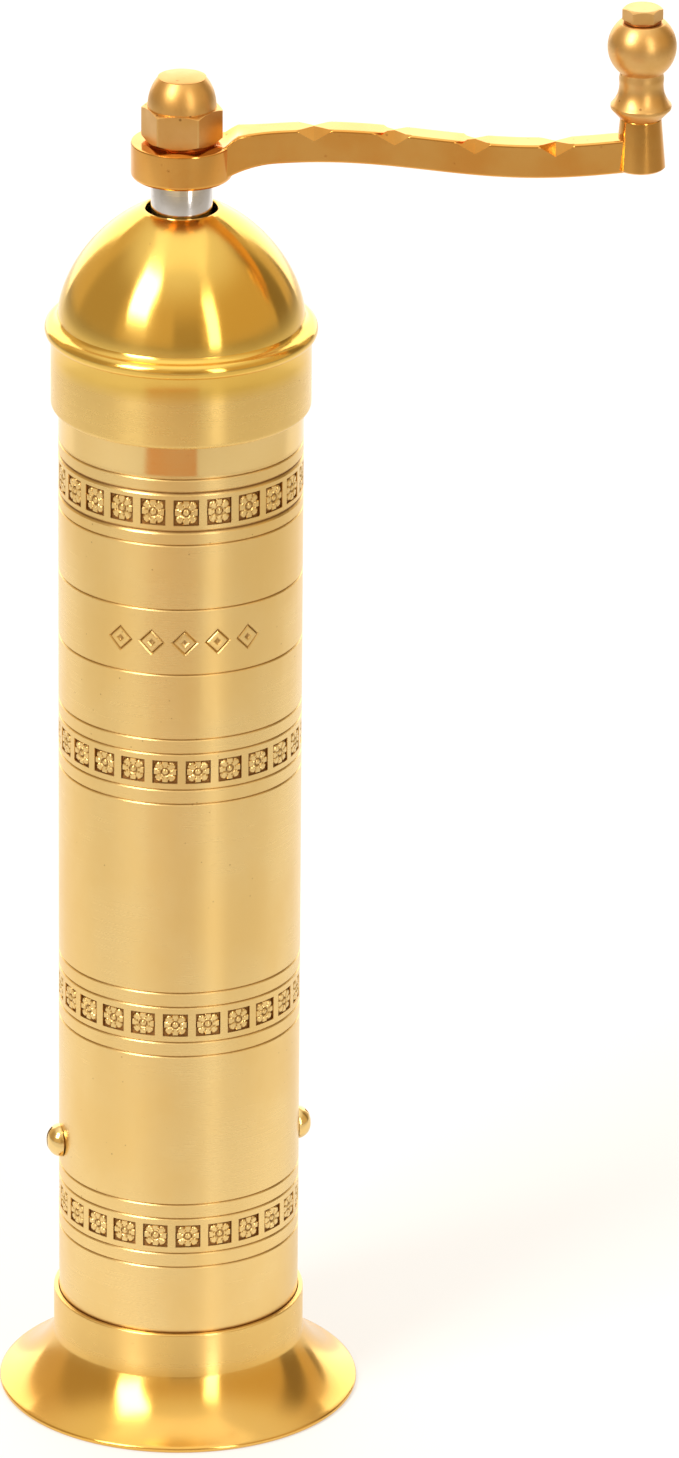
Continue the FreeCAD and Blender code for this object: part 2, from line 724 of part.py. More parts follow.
def crank_arm():
    hub = cylinder(hub_radius, hub_bottom, hub_top)
    low_edges = [e for e in hub.Edges if abs(e.BoundBox.ZMax - hub_bottom) < 0.01]
    hub = hub.makeFillet(hub_edge, low_edges)

    x_start = hub_radius / 2
    x_end = arm_reach
    samples = 12
    xs = [x_start + (x_end - x_start) * i / samples for i in range(samples + 1)]
    top = [(x, arm_height_at(x) + arm_height / 2) for x in xs]
    low = [(x, arm_height_at(x) - arm_height / 2) for x in xs]
    outline = [smooth(top), line(top[-1], low[-1]), smooth(low[::-1]), line(low[0], top[0])]
    side = Part.Face(Part.Wire(outline))
    side.translate(V(0, -arm_neck_width, 0))
    arm = side.extrude(V(0, 2 * arm_neck_width, 0))

    def half_width(x):
        share = max(0.0, 1 - (x - hub_radius / 2) / (hub_radius / 2 + arm_neck_length))
        return arm_width / 2 + (arm_neck_width - arm_width) / 2 * share ** 2

    plan_x = [x_start + (hub_radius / 2 + arm_neck_length) * i / 6 for i in range(7)]
    right = [V(x, half_width(x), hub_bottom - 5) for x in plan_x]
    curve = Part.BSplineCurve()
    curve.interpolate(right)
    other = Part.BSplineCurve()
    other.interpolate([V(p.x, -p.y, p.z) for p in reversed(right)])
    half = arm_width / 2
    end_right = V(x_end, half, hub_bottom - 5)
    end_left = V(x_end, -half, hub_bottom - 5)
    left_first = V(right[0].x, -right[0].y, right[0].z)
    left_last = V(right[-1].x, -right[-1].y, right[-1].z)
    straight = [(right[-1], end_right), (end_right, end_left), (end_left, left_last), (left_first, right[0])]
    sides = [Part.LineSegment(a, b).toShape() for a, b in straight]
    plan = Part.Wire([curve.toShape(), sides[0], sides[1], sides[2], other.toShape(), sides[3]])
    arm = arm.common(Part.Face(plan).extrude(V(0, 0, 30)))
    arm = arm.cut(cylinder(nut_corner + nut_clear, hub_top, hub_top + 20))

    cutters = []
    for i in range(notch_count):
        x = notch_first_x + (notch_last_x - notch_first_x) * i / (notch_count - 1)
        z = arm_height_at(x) + arm_height / 2
        over = 0.4
        grow = (half + over) / half
        for way in (1, -1):
            face_y = way * (half + over)
            spread = 1.1 * notch_half_length * grow
            cutters.append(tetrahedron([(x, 0, z + 0.05), (x - spread, face_y, z + 0.2),
                                        (x + spread, face_y, z + 0.2), (x, face_y, z - notch_depth * grow)]))
    arm = arm.cut(Part.makeCompound(cutters))

    boss = Part.makeCone(boss_bottom_radius, boss_top_radius, boss_height, V(arm_reach, 0, boss_bottom), UP)
    crank = hub.fuse([arm, boss]).removeSplitter()
    square = square_bar(crank_square + 2 * square_gap, hub_bottom - 1, hub_top + 1)
    corner_round = cylinder(stud_shaft_radius + square_gap, hub_bottom - 1, hub_top + 1)
    crank = crank.cut(square.common(corner_round))
    thread_end = boss_bottom + bolt_end_cover
    return crank.cut(cylinder(bolt_radius + static_gap, thread_end, boss_top + 1, arm_reach))


def nut_washer():
    return tube_between(washer_radius, stud_radius + running_gap, hub_top, washer_top)


def acorn_nut():
    body = hexagon(nut_flats, washer_top, nut_hex_top, nut_turn)
    slope = math.tan(math.radians(30))
    envelope = turned_polygon([(0, washer_top), (nut_corner - nut_chamfer, washer_top),
                               (nut_corner + 0.01, washer_top + (nut_chamfer + 0.01) * slope),
                               (nut_corner + 0.01, nut_hex_top - (nut_chamfer + 0.01) * slope),
                               (nut_corner - nut_chamfer, nut_hex_top), (0, nut_hex_top)])
    body = body.common(envelope)
    crown = bell_radius * math.sqrt(1 - (bell_height / bell_crown) ** 2)
    half_rise = 0.55 * bell_height
    half_radius = bell_radius * math.sqrt(1 - (half_rise / bell_crown) ** 2)
    bell = turned([line((0, nut_hex_top - bell_sunk), (bell_radius, nut_hex_top - bell_sunk)),
                   line((bell_radius, nut_hex_top - bell_sunk), (bell_radius, nut_hex_top)),
                   arc((bell_radius, nut_hex_top), (half_radius, nut_hex_top + half_rise), (crown, nut_top)),
                   line((crown, nut_top), (0, nut_top)),
                   line((0, nut_top), (0, nut_hex_top - bell_sunk))])
    nut = body.fuse(bell).removeSplitter()
    return nut.cut(cylinder(stud_radius + running_gap, washer_top - 1, stud_top + nut_bore_spare))


# ---------------------------------------------------------------- knob and its bolt
def knob():
    bore = bolt_radius + running_gap
    flange = knob_z + knob_flange_rise
    flange_high = flange + knob_flange_band
    neck = knob_z + knob_neck_rise
    ball = knob_z + knob_ball_rise
    crease = ball - math.sqrt(knob_ball_radius ** 2 - knob_crease_radius ** 2)
    top = knob_z + knob_height
    top_radius = math.sqrt(knob_ball_radius ** 2 - (top - ball) ** 2)
    waist_radius = (knob_flange_radius + knob_neck_radius) / 2 - 0.3
    waist_middle = (waist_radius, flange_high + 0.35 * (neck - flange_high))
    edges = [line((bore, knob_z), (knob_bottom_radius, knob_z)),
             line((knob_bottom_radius, knob_z), (knob_flange_radius, flange)),
             line((knob_flange_radius, flange), (knob_flange_radius, flange_high)),
             arc((knob_flange_radius, flange_high), waist_middle, (knob_neck_radius, neck)),
             line((knob_neck_radius, neck), (knob_crease_radius, crease)),
             arc((knob_crease_radius, crease), (knob_ball_radius, ball), (top_radius, top)),
             line((top_radius, top), (bore, top)),
             line((bore, top), (bore, knob_z))]
    knob_shape = turned(edges)
    knob_shape.translate(V(arm_reach, 0, 0))
    return knob_shape


def knob_washer():
    ring = tube_between(knob_washer_radius, bolt_radius + static_gap, knob_washer_z, bolt_head_z)
    ring.translate(V(arm_reach, 0, 0))
    return ring


def knob_bolt():
    head = hexagon(bolt_flats, bolt_head_z, bolt_head_z + bolt_head_height)
    corner = bolt_flats / math.sqrt(3)
    top = bolt_head_z + bolt_head_height
    envelope = turned_polygon([(0, bolt_head_z), (corner + 0.01, bolt_head_z), (corner + 0.01, top - 0.4),
                               (corner - 0.6, top), (0, top)])
    shank = cylinder(bolt_radius, boss_bottom + bolt_end_cover + 0.3, bolt_head_z + 0.2)
    bolt = head.common(envelope).fuse(shank).removeSplitter()
    bolt.translate(V(arm_reach, 0, 0))
    return bolt


# ---------------------------------------------------------------- build
os.makedirs("parts", exist_ok=True)

for make in (body_tube, flared_foot, burr_carrier, carrier_screws, burr_ring, ring_retainer, bottom_bridge,
             bridge_screws, adjuster_lock_nut, guide_bridge, guide_screws, guide_bush, return_spring,
             thrust_ball, adjusting_screw,
             drive_shaft, shaft_collar, burr_cone, cone_clip, spring_seat,
             crank_arm, nut_washer, knob_bolt, knob_washer,
             acorn_nut, knob, dome_lid):
    save(make.__name__, make())

for label, value in (("tube_top", tube_top), ("side_screw_z", side_screw_z), ("dome_top", dome_top),
                     ("hub_bottom", hub_bottom), ("hub_top", hub_top), ("nut_top", nut_top),
                     ("boss_top", boss_top), ("knob_z", knob_z), ("bolt_head_z", bolt_head_z),
                     ("thumb_bottom", thumb_bottom),
                     ("guide_top", guide_top)):
    print("%-14s %.3f" % (label, value))
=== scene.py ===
import math
import bmesh
import bpy
from mathutils import Matrix, Vector


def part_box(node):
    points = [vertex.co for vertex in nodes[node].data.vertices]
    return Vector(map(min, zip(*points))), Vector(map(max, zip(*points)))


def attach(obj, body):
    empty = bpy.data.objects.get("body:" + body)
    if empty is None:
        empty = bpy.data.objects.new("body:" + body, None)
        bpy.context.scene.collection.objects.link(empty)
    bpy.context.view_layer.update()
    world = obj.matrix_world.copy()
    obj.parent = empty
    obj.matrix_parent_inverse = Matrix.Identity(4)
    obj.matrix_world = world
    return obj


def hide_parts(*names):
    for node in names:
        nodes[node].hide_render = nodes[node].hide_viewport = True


# Hand-cranked brass pepper mill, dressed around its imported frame.
# Metres, +Z up along the tube's axis, the crank points along +X.

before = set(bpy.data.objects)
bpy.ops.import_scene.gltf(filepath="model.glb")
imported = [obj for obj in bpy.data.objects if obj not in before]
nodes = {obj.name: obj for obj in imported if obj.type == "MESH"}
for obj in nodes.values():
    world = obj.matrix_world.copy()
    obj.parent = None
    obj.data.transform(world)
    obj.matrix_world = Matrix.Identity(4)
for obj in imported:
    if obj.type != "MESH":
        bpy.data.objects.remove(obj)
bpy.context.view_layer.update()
mm = 0.001
up = Vector((0, 0, 1))
ground = Vector((0, 0, 0))


# ---- shader maths as plain expressions
class Socket:
    def __init__(self, recipe, output):
        self.recipe = recipe
        self.output = output

    def maths(self, operation, first, second=0.0):
        return self.recipe.add("ShaderNodeMath", {"operation": operation}, {0: first, 1: second})

    def __add__(self, other):
        return self.maths("ADD", self, other)

    def __radd__(self, other):
        return self.maths("ADD", other, self)

    def __sub__(self, other):
        return self.maths("SUBTRACT", self, other)

    def __rsub__(self, other):
        return self.maths("SUBTRACT", other, self)

    def __mul__(self, other):
        return self.maths("MULTIPLY", self, other)

    def __rmul__(self, other):
        return self.maths("MULTIPLY", other, self)

    def __truediv__(self, other):
        return self.maths("DIVIDE", self, other)

    def __pow__(self, other):
        return self.maths("POWER", self, other)


class Recipe:
    def __init__(self, owner):
        owner.use_nodes = True
        self.owner = owner
        self.tree = owner.node_tree
        self.tree.nodes.clear()

    # any node: its settings first, then values or links for its sockets
    def add(self, kind, settings=None, values=None, output=0):
        node = self.tree.nodes.new(kind)
        for key, value in (settings or {}).items():
            setattr(node, key, value)
        for key, value in (values or {}).items():
            if isinstance(value, Socket):
                self.tree.links.new(value.output, node.inputs[key])
            else:
                node.inputs[key].default_value = value
        return Socket(self, node.outputs[output]) if node.outputs else None

    def ramp(self, value, low, high, toLow=0.0, toHigh=1.0):
        # smooth step between two values
        return self.add("ShaderNodeMapRange", {"interpolation_type": "SMOOTHSTEP"},
                        {0: value, 1: low, 2: high, 3: toLow, 4: toHigh})

    def blend(self, share, first, second):
        return self.add("ShaderNodeMix", {"data_type": "RGBA"}, {0: share, 6: first, 7: second}, 2)

    def place(self):
        return self.add("ShaderNodeTexCoord", output=3)

    def axes(self, vector):
        split = self.add("ShaderNodeSeparateXYZ", values={0: vector})
        return [Socket(self, out) for out in split.output.node.outputs]

    def noise(self, scale, detail=3.0, stretch=(1, 1, 1), rough=0.5, shift=(0, 0, 0)):
        where = self.add("ShaderNodeMapping", values={0: self.place(), 1: shift, 3: stretch})
        return self.add("ShaderNodeTexNoise", values={0: where, "Scale": scale, "Detail": detail,
                                                      "Roughness": rough})

    def spots(self, scale, size, shift=(0, 0, 0)):
        # small round pits and specks, 1 in their middles
        where = self.add("ShaderNodeMapping", values={0: self.place(), 1: shift})
        far = self.add("ShaderNodeTexVoronoi", {"feature": "F1"}, {0: where, "Scale": scale})
        return self.ramp(far, size, 0.4 * size)

    def bump(self, height, depth, strength=1.0, before=None):
        values = {"Height": height, "Distance": depth, "Strength": strength}
        if before:
            values["Normal"] = before
        return self.add("ShaderNodeBump", values=values)


def finish(recipe, values):
    surface = recipe.add("ShaderNodeBsdfPrincipled", values=values)
    recipe.add("ShaderNodeOutputMaterial", values={0: surface})
    return recipe.owner


# ---- brass finishes
def turnedBrass(name, look):
    # circular brush marks, soft mottling, brown patina in whatever lies below the skin
    r = Recipe(bpy.data.materials.new(name))
    x, y, z = r.axes(r.place())
    radius = (x * x + y * y) ** 0.5
    shine = r.ramp(z, look["shineFrom"], look["shineFrom"] + 0.6 * mm)
    sunk = r.ramp(radius, look["skin"] - look["sunkBy"], look["skin"] - 0.03 * mm, 1.0, 0.0)
    mottle = r.ramp(r.noise(55, 4, (1, 1, 0.7)), 0.38, 0.68)
    cloud = r.ramp(r.noise(19, 2, (1, 1, 0.6), shift=(3, 1, 2)), 0.35, 0.7)
    marks = r.noise(look["markScale"], 5, (0.012, 0.012, 1), 0.7)
    specks = r.spots(420, 0.075) * r.ramp(r.noise(40, 1, shift=(7, 0, 0)), 0.5, 0.62)
    colour = r.blend(mottle * 0.55 + cloud * 0.3, (*look["pale"], 1), (*look["deep"], 1))
    colour = r.blend(specks * look["speckle"], colour, (*look["brown"], 1))
    colour = r.blend(sunk * look["patina"], colour, (*look["brown"], 1))
    # painted shade: a brown line on the tube's face just above the seam, where the shadowed gap meets the
    # foot's lip
    outside = r.ramp(radius, look["skin"] - 0.5 * mm, look["skin"] - 0.1 * mm)
    seam = r.ramp(z, look["seam"], look["seam"] + 0.45 * mm, 1.0, 0.0) * outside
    colour = r.blend(seam * 0.85, colour, (*look["brown"], 1))
    rough = look["rough"] + marks * look["markRough"] + mottle * 0.04 + sunk * 0.25
    rough = rough * (1 - 0.62 * shine)
    normal = r.bump(marks * (1 - 0.8 * shine), look["markDepth"], 0.5)
    normal = r.bump(specks, 0.02 * mm, -0.6, normal)
    return finish(r, {"Base Color": colour, "Metallic": 1.0, "Roughness": rough, "Normal": normal,
                      "Anisotropic": look["stretch"], "Anisotropic Rotation": 0.25})


def polishedBrass(name, look):
    # buffed surface: faint wipe marks, a few dull spots, softer tone where the buff missed
    r = Recipe(bpy.data.materials.new(name))
    cloud = r.ramp(r.noise(38, 3, shift=(2, 5, 1)), 0.36, 0.7)
    haze = r.noise(260, 5, (1, 1, 1), 0.65)
    wipe = r.noise(2600, 4, (0.02, 0.02, 1), 0.65, (5, 2, 0))
    height = r.axes(r.place())[2]
    satin = r.ramp(height, look["satinFull"], look["satinNone"], 1.0, 0.0)
    specks = r.spots(360, 0.07, (1, 4, 2)) * r.ramp(r.noise(60, 1, shift=(0, 3, 0)), 0.52, 0.62)
    colour = r.blend(cloud, (*look["pale"], 1), (*look["deep"], 1))
    colour = r.blend(satin * 0.8, colour, (*look["satinTone"], 1))
    colour = r.blend(specks * look["speckle"], colour, (*look["brown"], 1))
    rough = look["rough"] + haze * look["haze"] + specks * 0.2 + satin * (look["satinRough"] + wipe * 0.1)
    normal = r.bump(haze, 0.05 * mm, look["ripple"])
    normal = r.bump(wipe * (0.2 + satin), 0.008 * mm, 0.5, normal)
    return finish(r, {"Base Color": colour, "Metallic": 1.0, "Roughness": rough, "Normal": normal,
                      "Anisotropic": look["stretch"], "Anisotropic Rotation": 0.25})


def castBrass(name, look):
    # satin casting or bar: fine grain, pits, darker cloudy tone
    r = Recipe(bpy.data.materials.new(name))
    cloud = r.ramp(r.noise(120, 4, shift=(1, 2, 6)), 0.35, 0.7)
    grain = r.noise(1900, 4, (1, 1, 1), 0.6)
    pits = r.spots(520, 0.16, (4, 1, 0)) * r.ramp(r.noise(150, 2, shift=(0, 8, 0)), 0.5, 0.6)
    colour = r.blend(cloud, (*look["pale"], 1), (*look["deep"], 1))
    colour = r.blend(pits * look["speckle"], colour, (*look["brown"], 1))
    rough = look["rough"] + grain * 0.08 + cloud * 0.06 + pits * 0.15
    normal = r.bump(grain, 0.02 * mm, look["grain"])
    normal = r.bump(pits, 0.04 * mm, -0.8, normal)
    return finish(r, {"Base Color": colour, "Metallic": 1.0, "Roughness": rough, "Normal": normal})


def plainMetal(name, look):
    # steel, zinc plate, aluminium and bronze inside the mill
    r = Recipe(bpy.data.materials.new(name))
    cloud = r.ramp(r.noise(look["cloudScale"], 4, shift=(2, 2, 2)), 0.35, 0.7)
    marks = r.noise(look["markScale"], 4, look["markAlong"], 0.65)
    dust = r.ramp(r.noise(700, 3, shift=(9, 3, 1)), 0.56, 0.72) * look["dust"]
    colour = r.blend(cloud * 0.7, (*look["pale"], 1), (*look["deep"], 1))
    colour = r.blend(dust, colour, (0.16, 0.12, 0.08, 1))
    rough = look["rough"] + marks * look["markRough"] + dust * 0.3
    normal = r.bump(marks, look["markDepth"], 0.5)
    return finish(r, {"Base Color": colour, "Metallic": 1.0, "Roughness": rough, "Normal": normal})


brassTone = {"pale": (0.85, 0.62, 0.27), "deep": (0.82, 0.55, 0.19), "brown": (0.22, 0.085, 0.02),
             "satinTone": (0.84, 0.59, 0.22)}

tubeLook = dict(brassTone, skin=19.0 * mm, seam=16.55 * mm, shineFrom=161.2 * mm, sunkBy=0.32 * mm,
                markScale=5200, markDepth=0.012 * mm, rough=0.2, markRough=0.16, patina=0.86, speckle=0.5,
                stretch=0.75)
tubeBrass = turnedBrass("tubeBrass", tubeLook)

footLook = dict(brassTone, rough=0.13, haze=0.08, speckle=0.35, ripple=0.12, satinFull=12 * mm,
                satinNone=7 * mm, satinRough=0.07, stretch=0.9)
footLook["pale"] = (0.80, 0.48, 0.13)
footLook["deep"] = (0.80, 0.47, 0.10)
footBrass = polishedBrass("footBrass", footLook)

lidLook = dict(brassTone, rough=0.12, haze=0.1, speckle=0.5, ripple=0.16, satinFull=173 * mm,
               satinNone=176 * mm, satinRough=0.06, stretch=0.9)
lidLook["pale"] = (0.84, 0.55, 0.13)
lidLook["deep"] = (0.80, 0.50, 0.10)
lidBrass = polishedBrass("lidBrass", lidLook)

crankLook = dict(brassTone, rough=0.07, speckle=0.35, grain=0.12)
crankLook["pale"] = (0.80, 0.42, 0.105)
crankLook["deep"] = (0.76, 0.36, 0.075)
crankBrass = castBrass("crankBrass", crankLook)

nutLook = dict(brassTone, rough=0.3, speckle=0.7, grain=0.35)
nutLook["pale"] = (0.78, 0.48, 0.18)
nutLook["deep"] = (0.70, 0.40, 0.12)
nutBrass = castBrass("nutBrass", nutLook)

# painted shade: the washers lie in shadow under the nut and the bolt head, so their brass is painted much
# darker and redder than the rest
shadedWasherLook = dict(nutLook, pale=(0.50, 0.20, 0.06), deep=(0.36, 0.12, 0.03), rough=0.34)
shadedWasherBrass = castBrass("shadedWasherBrass", shadedWasherLook)

screwLook = dict(brassTone, rough=0.12, speckle=0.3, grain=0.1)
screwBrass = castBrass("screwBrass", screwLook)

chromeLook = {"pale": (0.93, 0.91, 0.92), "deep": (0.84, 0.80, 0.80), "cloudScale": 90, "markScale": 3000,
              "markAlong": (0.02, 0.02, 1), "dust": 0.1, "rough": 0.08, "markRough": 0.12,
              "markDepth": 0.01 * mm}
chromeSteel = plainMetal("chromeSteel", chromeLook)
shaftSteel = plainMetal("shaftSteel", dict(chromeLook, pale=(0.60, 0.60, 0.62), rough=0.18, dust=0.35))
burrLook = {"pale": (0.32, 0.32, 0.33), "deep": (0.20, 0.19, 0.19), "cloudScale": 160, "markScale": 1400,
            "markAlong": (1, 1, 0.2), "dust": 0.8, "rough": 0.34, "markRough": 0.2, "markDepth": 0.03 * mm}
burrSteel = plainMetal("burrSteel", burrLook)
castLook = {"pale": (0.62, 0.63, 0.64), "deep": (0.50, 0.50, 0.50), "cloudScale": 70, "markScale": 2600,
            "markAlong": (0.03, 0.03, 1), "dust": 0.6, "rough": 0.3, "markRough": 0.2, "markDepth": 0.02 * mm}
castAluminium = plainMetal("castAluminium", castLook)
zincLook = dict(castLook, pale=(0.58, 0.57, 0.53), deep=(0.46, 0.46, 0.44), rough=0.26, markAlong=(1, 1, 1),
                markScale=900, dust=0.5)
zincSteel = plainMetal("zincSteel", zincLook)
bushLook = dict(castLook, pale=(0.60, 0.38, 0.20), deep=(0.46, 0.26, 0.12), rough=0.3)
bushBronze = plainMetal("bushBronze", bushLook)
adjusterBrass = plainMetal("adjusterBrass", dict(castLook, pale=(0.74, 0.52, 0.22), deep=(0.64, 0.40, 0.14),
                                                 rough=0.22, dust=0.3))
springSteel = plainMetal("springSteel", dict(chromeLook, pale=(0.50, 0.50, 0.52), deep=(0.36, 0.36, 0.38),
                                             rough=0.2, markAlong=(1, 1, 1), dust=0.3))
print("finishes ready:", len(bpy.data.materials))


# ---- mesh helpers
def spun(bm, outline, steps=144, centre=(0, 0), closed=True):
    # turns an outline of (radius, height) points about a vertical axis
    points = [bm.verts.new((centre[0] + radius, centre[1], height)) for radius, height in outline]
    ends = points[1:] + points[:1] if closed else points[1:]
    edges = [bm.edges.new(pair) for pair in zip(points, ends)]
    bmesh.ops.spin(bm, geom=points + edges, cent=(*centre, 0), axis=up, dvec=ground, angle=2 * math.pi,
                   steps=steps, use_merge=True, use_normal_flip=False, use_duplicate=False)
    bmesh.ops.remove_doubles(bm, verts=bm.verts, dist=1e-7)
    bmesh.ops.recalc_face_normals(bm, faces=bm.faces)


def arc(first, middle, last, count):
    # points after the first along the circle through three points
    (ax, ay), (bx, by), (cx, cy) = first, middle, last
    d = 2 * (ax * (by - cy) + bx * (cy - ay) + cx * (ay - by))
    a2, b2, c2 = ax * ax + ay * ay, bx * bx + by * by, cx * cx + cy * cy
    ux = (a2 * (by - cy) + b2 * (cy - ay) + c2 * (ay - by)) / d
    uy = (a2 * (cx - bx) + b2 * (ax - cx) + c2 * (bx - ax)) / d
    start = math.atan2(ay - uy, ax - ux)
    through = math.remainder(math.atan2(by - uy, bx - ux) - start, 2 * math.pi)
    whole = math.remainder(math.atan2(cy - uy, cx - ux) - start, 2 * math.pi)
    if through * whole < 0:
        whole += math.copysign(2 * math.pi, through)
    reach = math.hypot(ax - ux, ay - uy)
    turns = [start + whole * i / count for i in range(1, count + 1)]
    return [(ux + reach * math.cos(t), uy + reach * math.sin(t)) for t in turns]


def soften(bm, width, segments=2, sharper=28):
    # rounds every edge that turns by more than an angle in degrees
    edges = [e for e in bm.edges if len(e.link_faces) == 2 and e.calc_face_angle() > math.radians(sharper)]
    bmesh.ops.bevel(bm, geom=edges, offset=width, offset_type="OFFSET", segments=segments, profile=0.5,
                    affect="EDGES", material=-1, clamp_overlap=True)


def prism(bm, sides, across, low, high, turn=0.0, centre=(0, 0)):
    # upright bar with flats, turned by an angle in degrees
    place = Matrix.Translation((*centre, low)) @ Matrix.Rotation(math.radians(turn - 90), 4, "Z")
    ring = bmesh.ops.create_circle(bm, cap_ends=True, segments=sides, matrix=place,
                                   radius=across / 2 / math.cos(math.pi / sides))
    faces = list({f for v in ring["verts"] for f in v.link_faces})
    raised = bmesh.ops.extrude_face_region(bm, geom=faces)
    tops = [v for v in raised["geom"] if isinstance(v, bmesh.types.BMVert)]
    bmesh.ops.translate(bm, vec=up * (high - low), verts=tops)
    bmesh.ops.recalc_face_normals(bm, faces=bm.faces)


def holder(name, bm):
    mesh = bpy.data.meshes.new(name)
    bm.to_mesh(mesh)
    bm.free()
    piece = bpy.data.objects.new(name, mesh)
    bpy.context.scene.collection.objects.link(piece)
    return piece


def solid(name, make, *values, **named):
    bm = bmesh.new()
    make(bm, *values, **named)
    return holder(name, bm)


def combine(piece, others, operation):
    for other in others:
        change = piece.modifiers.new("change", "BOOLEAN")
        change.operation = operation
        change.solver = "MANIFOLD"
        change.object = other
    result = piece.evaluated_get(bpy.context.evaluated_depsgraph_get())
    mesh = bpy.data.meshes.new_from_object(result)
    piece.modifiers.clear()
    piece.data = mesh
    for other in others:
        bpy.data.objects.remove(other)


def flatten(piece):
    # long flat faces keep flat shading next to their rounded edges
    flat = piece.modifiers.new("flat", "WEIGHTED_NORMAL")
    flat.keep_sharp = True
    flat.weight = 80


def dress(piece, body, node, finishes, sharp=32):
    mesh = piece.data
    mesh.name = piece.name
    mesh.shade_smooth()
    mesh.set_sharp_from_angle(angle=math.radians(sharp))
    mesh.materials.clear()
    for material in finishes:
        mesh.materials.append(material)
    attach(piece, body)
    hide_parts(node)
    check = bmesh.new()
    check.from_mesh(mesh)
    loose = sum(1 for e in check.edges if len(e.link_faces) != 2)
    volume = check.calc_volume() / mm ** 3
    print(piece.name, "faces", len(mesh.polygons), "open edges", loose, "volume %.2f" % volume)
    check.free()


def top(node):
    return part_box(node)[1].z


def bottom(node):
    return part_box(node)[0].z


# ---- tube with its lines, four rows of flowers and one row of lozenges
tube = {"radius": 19.0 * mm, "bore": 17.8 * mm, "chamfer": 0.3 * mm,
        "lineHalf": 0.22 * mm, "lineDepth": 0.22 * mm, "heavyLine": 1.9, "outerLine": 5.4 * mm,
        "innerLine": 3.0 * mm, "heavyOffset": 3.17 * mm,
        "panels": 23, "squareTurn": 11.9, "squareHalf": 1.9 * mm, "tallHalf": 2.12 * mm,
        "recess": 0.34 * mm, "wallInset": 0.05 * mm, "petalRise": 0.3 * mm, "petals": 8, "cuts": 4,
        "rows": {33.3 * mm: 4.6, 69.6 * mm: -1.7, 112.4 * mm: 8.7, 155.5 * mm: 2.7},
        "lozengeRow": 134.0 * mm, "lozenges": 5, "lozengeTurn": 2.2, "lozengeHalf": 2.3 * mm,
        "lozengeShare": 0.86, "screwHole": 2.03 * mm}
panelTurn = 2 * math.pi / tube["panels"]


def step(value, low, high):
    share = min(1.0, max(0.0, (value - low) / (high - low)))
    return share * share * (3 - 2 * share)


def flowerAt(u, v):
    # height of an eight-petal flower over a square from -1 to 1, 0 on the floor and 1 on the skin
    reach = math.hypot(u, v)
    lobe = abs(math.cos(tube["petals"] / 2 * math.atan2(v, u)))
    petal = step(0.82 + 0.26 * lobe ** 0.5 - reach, 0.0, 0.09)
    petal *= 1 - 0.7 * step(1 - lobe, 0.62, 1.0) * step(reach, 0.3, 0.5)
    ring = step(abs(reach - 0.3), 0.11, 0.03)
    heart = step(0.2 - reach, 0.0, 0.1)
    return max(petal * (1 - 0.8 * ring), heart) * step(1.0 - max(abs(u), abs(v)), 0.0, 0.05)


def lozengeAt(u, v):
    # depth of an engraved lozenge with a small one inside, 1 at the bottom of the cut
    size = abs(u) / 0.94 + abs(v) / 0.92
    outline = step(abs(size - 0.88), 0.13, 0.03)
    heart = step(0.34 - size, 0.0, 0.16)
    return max(outline, heart)


def groove(z, scale=1.0):
    half = tube["lineHalf"] * scale
    depth = tube["lineDepth"] * math.sqrt(scale)
    return [(tube["radius"], z - half), (tube["radius"] - depth, z), (tube["radius"], z + half)]


def ringFaces(faces, low, high, halfTurn):
    # faces of the front sector inside a square, seen from the axis
    def inside(f):
        c = f.calc_center_median()
        return low < c.z < high and abs(math.atan2(c.x, -c.y)) < halfTurn
    return [f for f in faces if inside(f)]


def sector(bm, outline, squareTurn):
    # one panel's share of the tube wall, middle towards the front, four columns in the square
    start = Matrix.Rotation(-math.pi / 2 - panelTurn / 2, 4, "Z")
    points = [bm.verts.new(start @ Vector((radius, 0, height))) for radius, height in outline]
    geom = points + [bm.edges.new(pair) for pair in zip(points, points[1:])]
    before = set(bm.faces)
    bar = (panelTurn - squareTurn) / 2
    for turn, count in ((bar, 1), (squareTurn, 4), (bar, 1)):
        turned = bmesh.ops.spin(bm, geom=geom, cent=ground, axis=up, dvec=ground, angle=turn, steps=count,
                                use_merge=False, use_normal_flip=False, use_duplicate=False)
        geom = turned["geom_last"]
    faces = [f for f in bm.faces if f not in before]
    for f in faces:
        f.normal_update()
    middle = faces[0].calc_center_median()
    if faces[0].normal.x * middle.x + faces[0].normal.y * middle.y < 0:
        bmesh.ops.reverse_faces(bm, faces=faces)
    return faces


def relief(bm, faces, z, half, halfTurn, cuts, radiusAt):
    # refines a square of the wall and sets each point's distance from the axis
    edges = list({e for f in faces for e in f.edges})
    bmesh.ops.subdivide_edges(bm, edges=edges, cuts=cuts, use_grid_fill=True)
    inside = ringFaces(bm.faces, z - half, z + half, halfTurn)
    for v in {v for f in inside for v in f.verts}:
        turn = math.atan2(v.co.x, -v.co.y)
        radius = radiusAt(turn / halfTurn, (v.co.z - z) / half)
        v.co = Vector((radius * math.sin(turn), -radius * math.cos(turn), v.co.z))


def around(bm, faces, count, first=0.0):
    # copies a sector round the axis
    geom = list({v for f in faces for v in f.verts} | {e for f in faces for e in f.edges}) + list(faces)
    if first:
        verts = [v for v in geom if isinstance(v, bmesh.types.BMVert)]
        bmesh.ops.rotate(bm, verts=verts, cent=ground, matrix=Matrix.Rotation(first, 3, "Z"))
    if count > 1:
        bmesh.ops.spin(bm, geom=geom, cent=ground, axis=up, dvec=ground, angle=panelTurn * (count - 1),
                       steps=count - 1, use_merge=False, use_normal_flip=False, use_duplicate=True)


def squareRows(z, half):
    return [(tube["radius"], z + half * share) for share in (-1, -0.5, 0, 0.5, 1)]


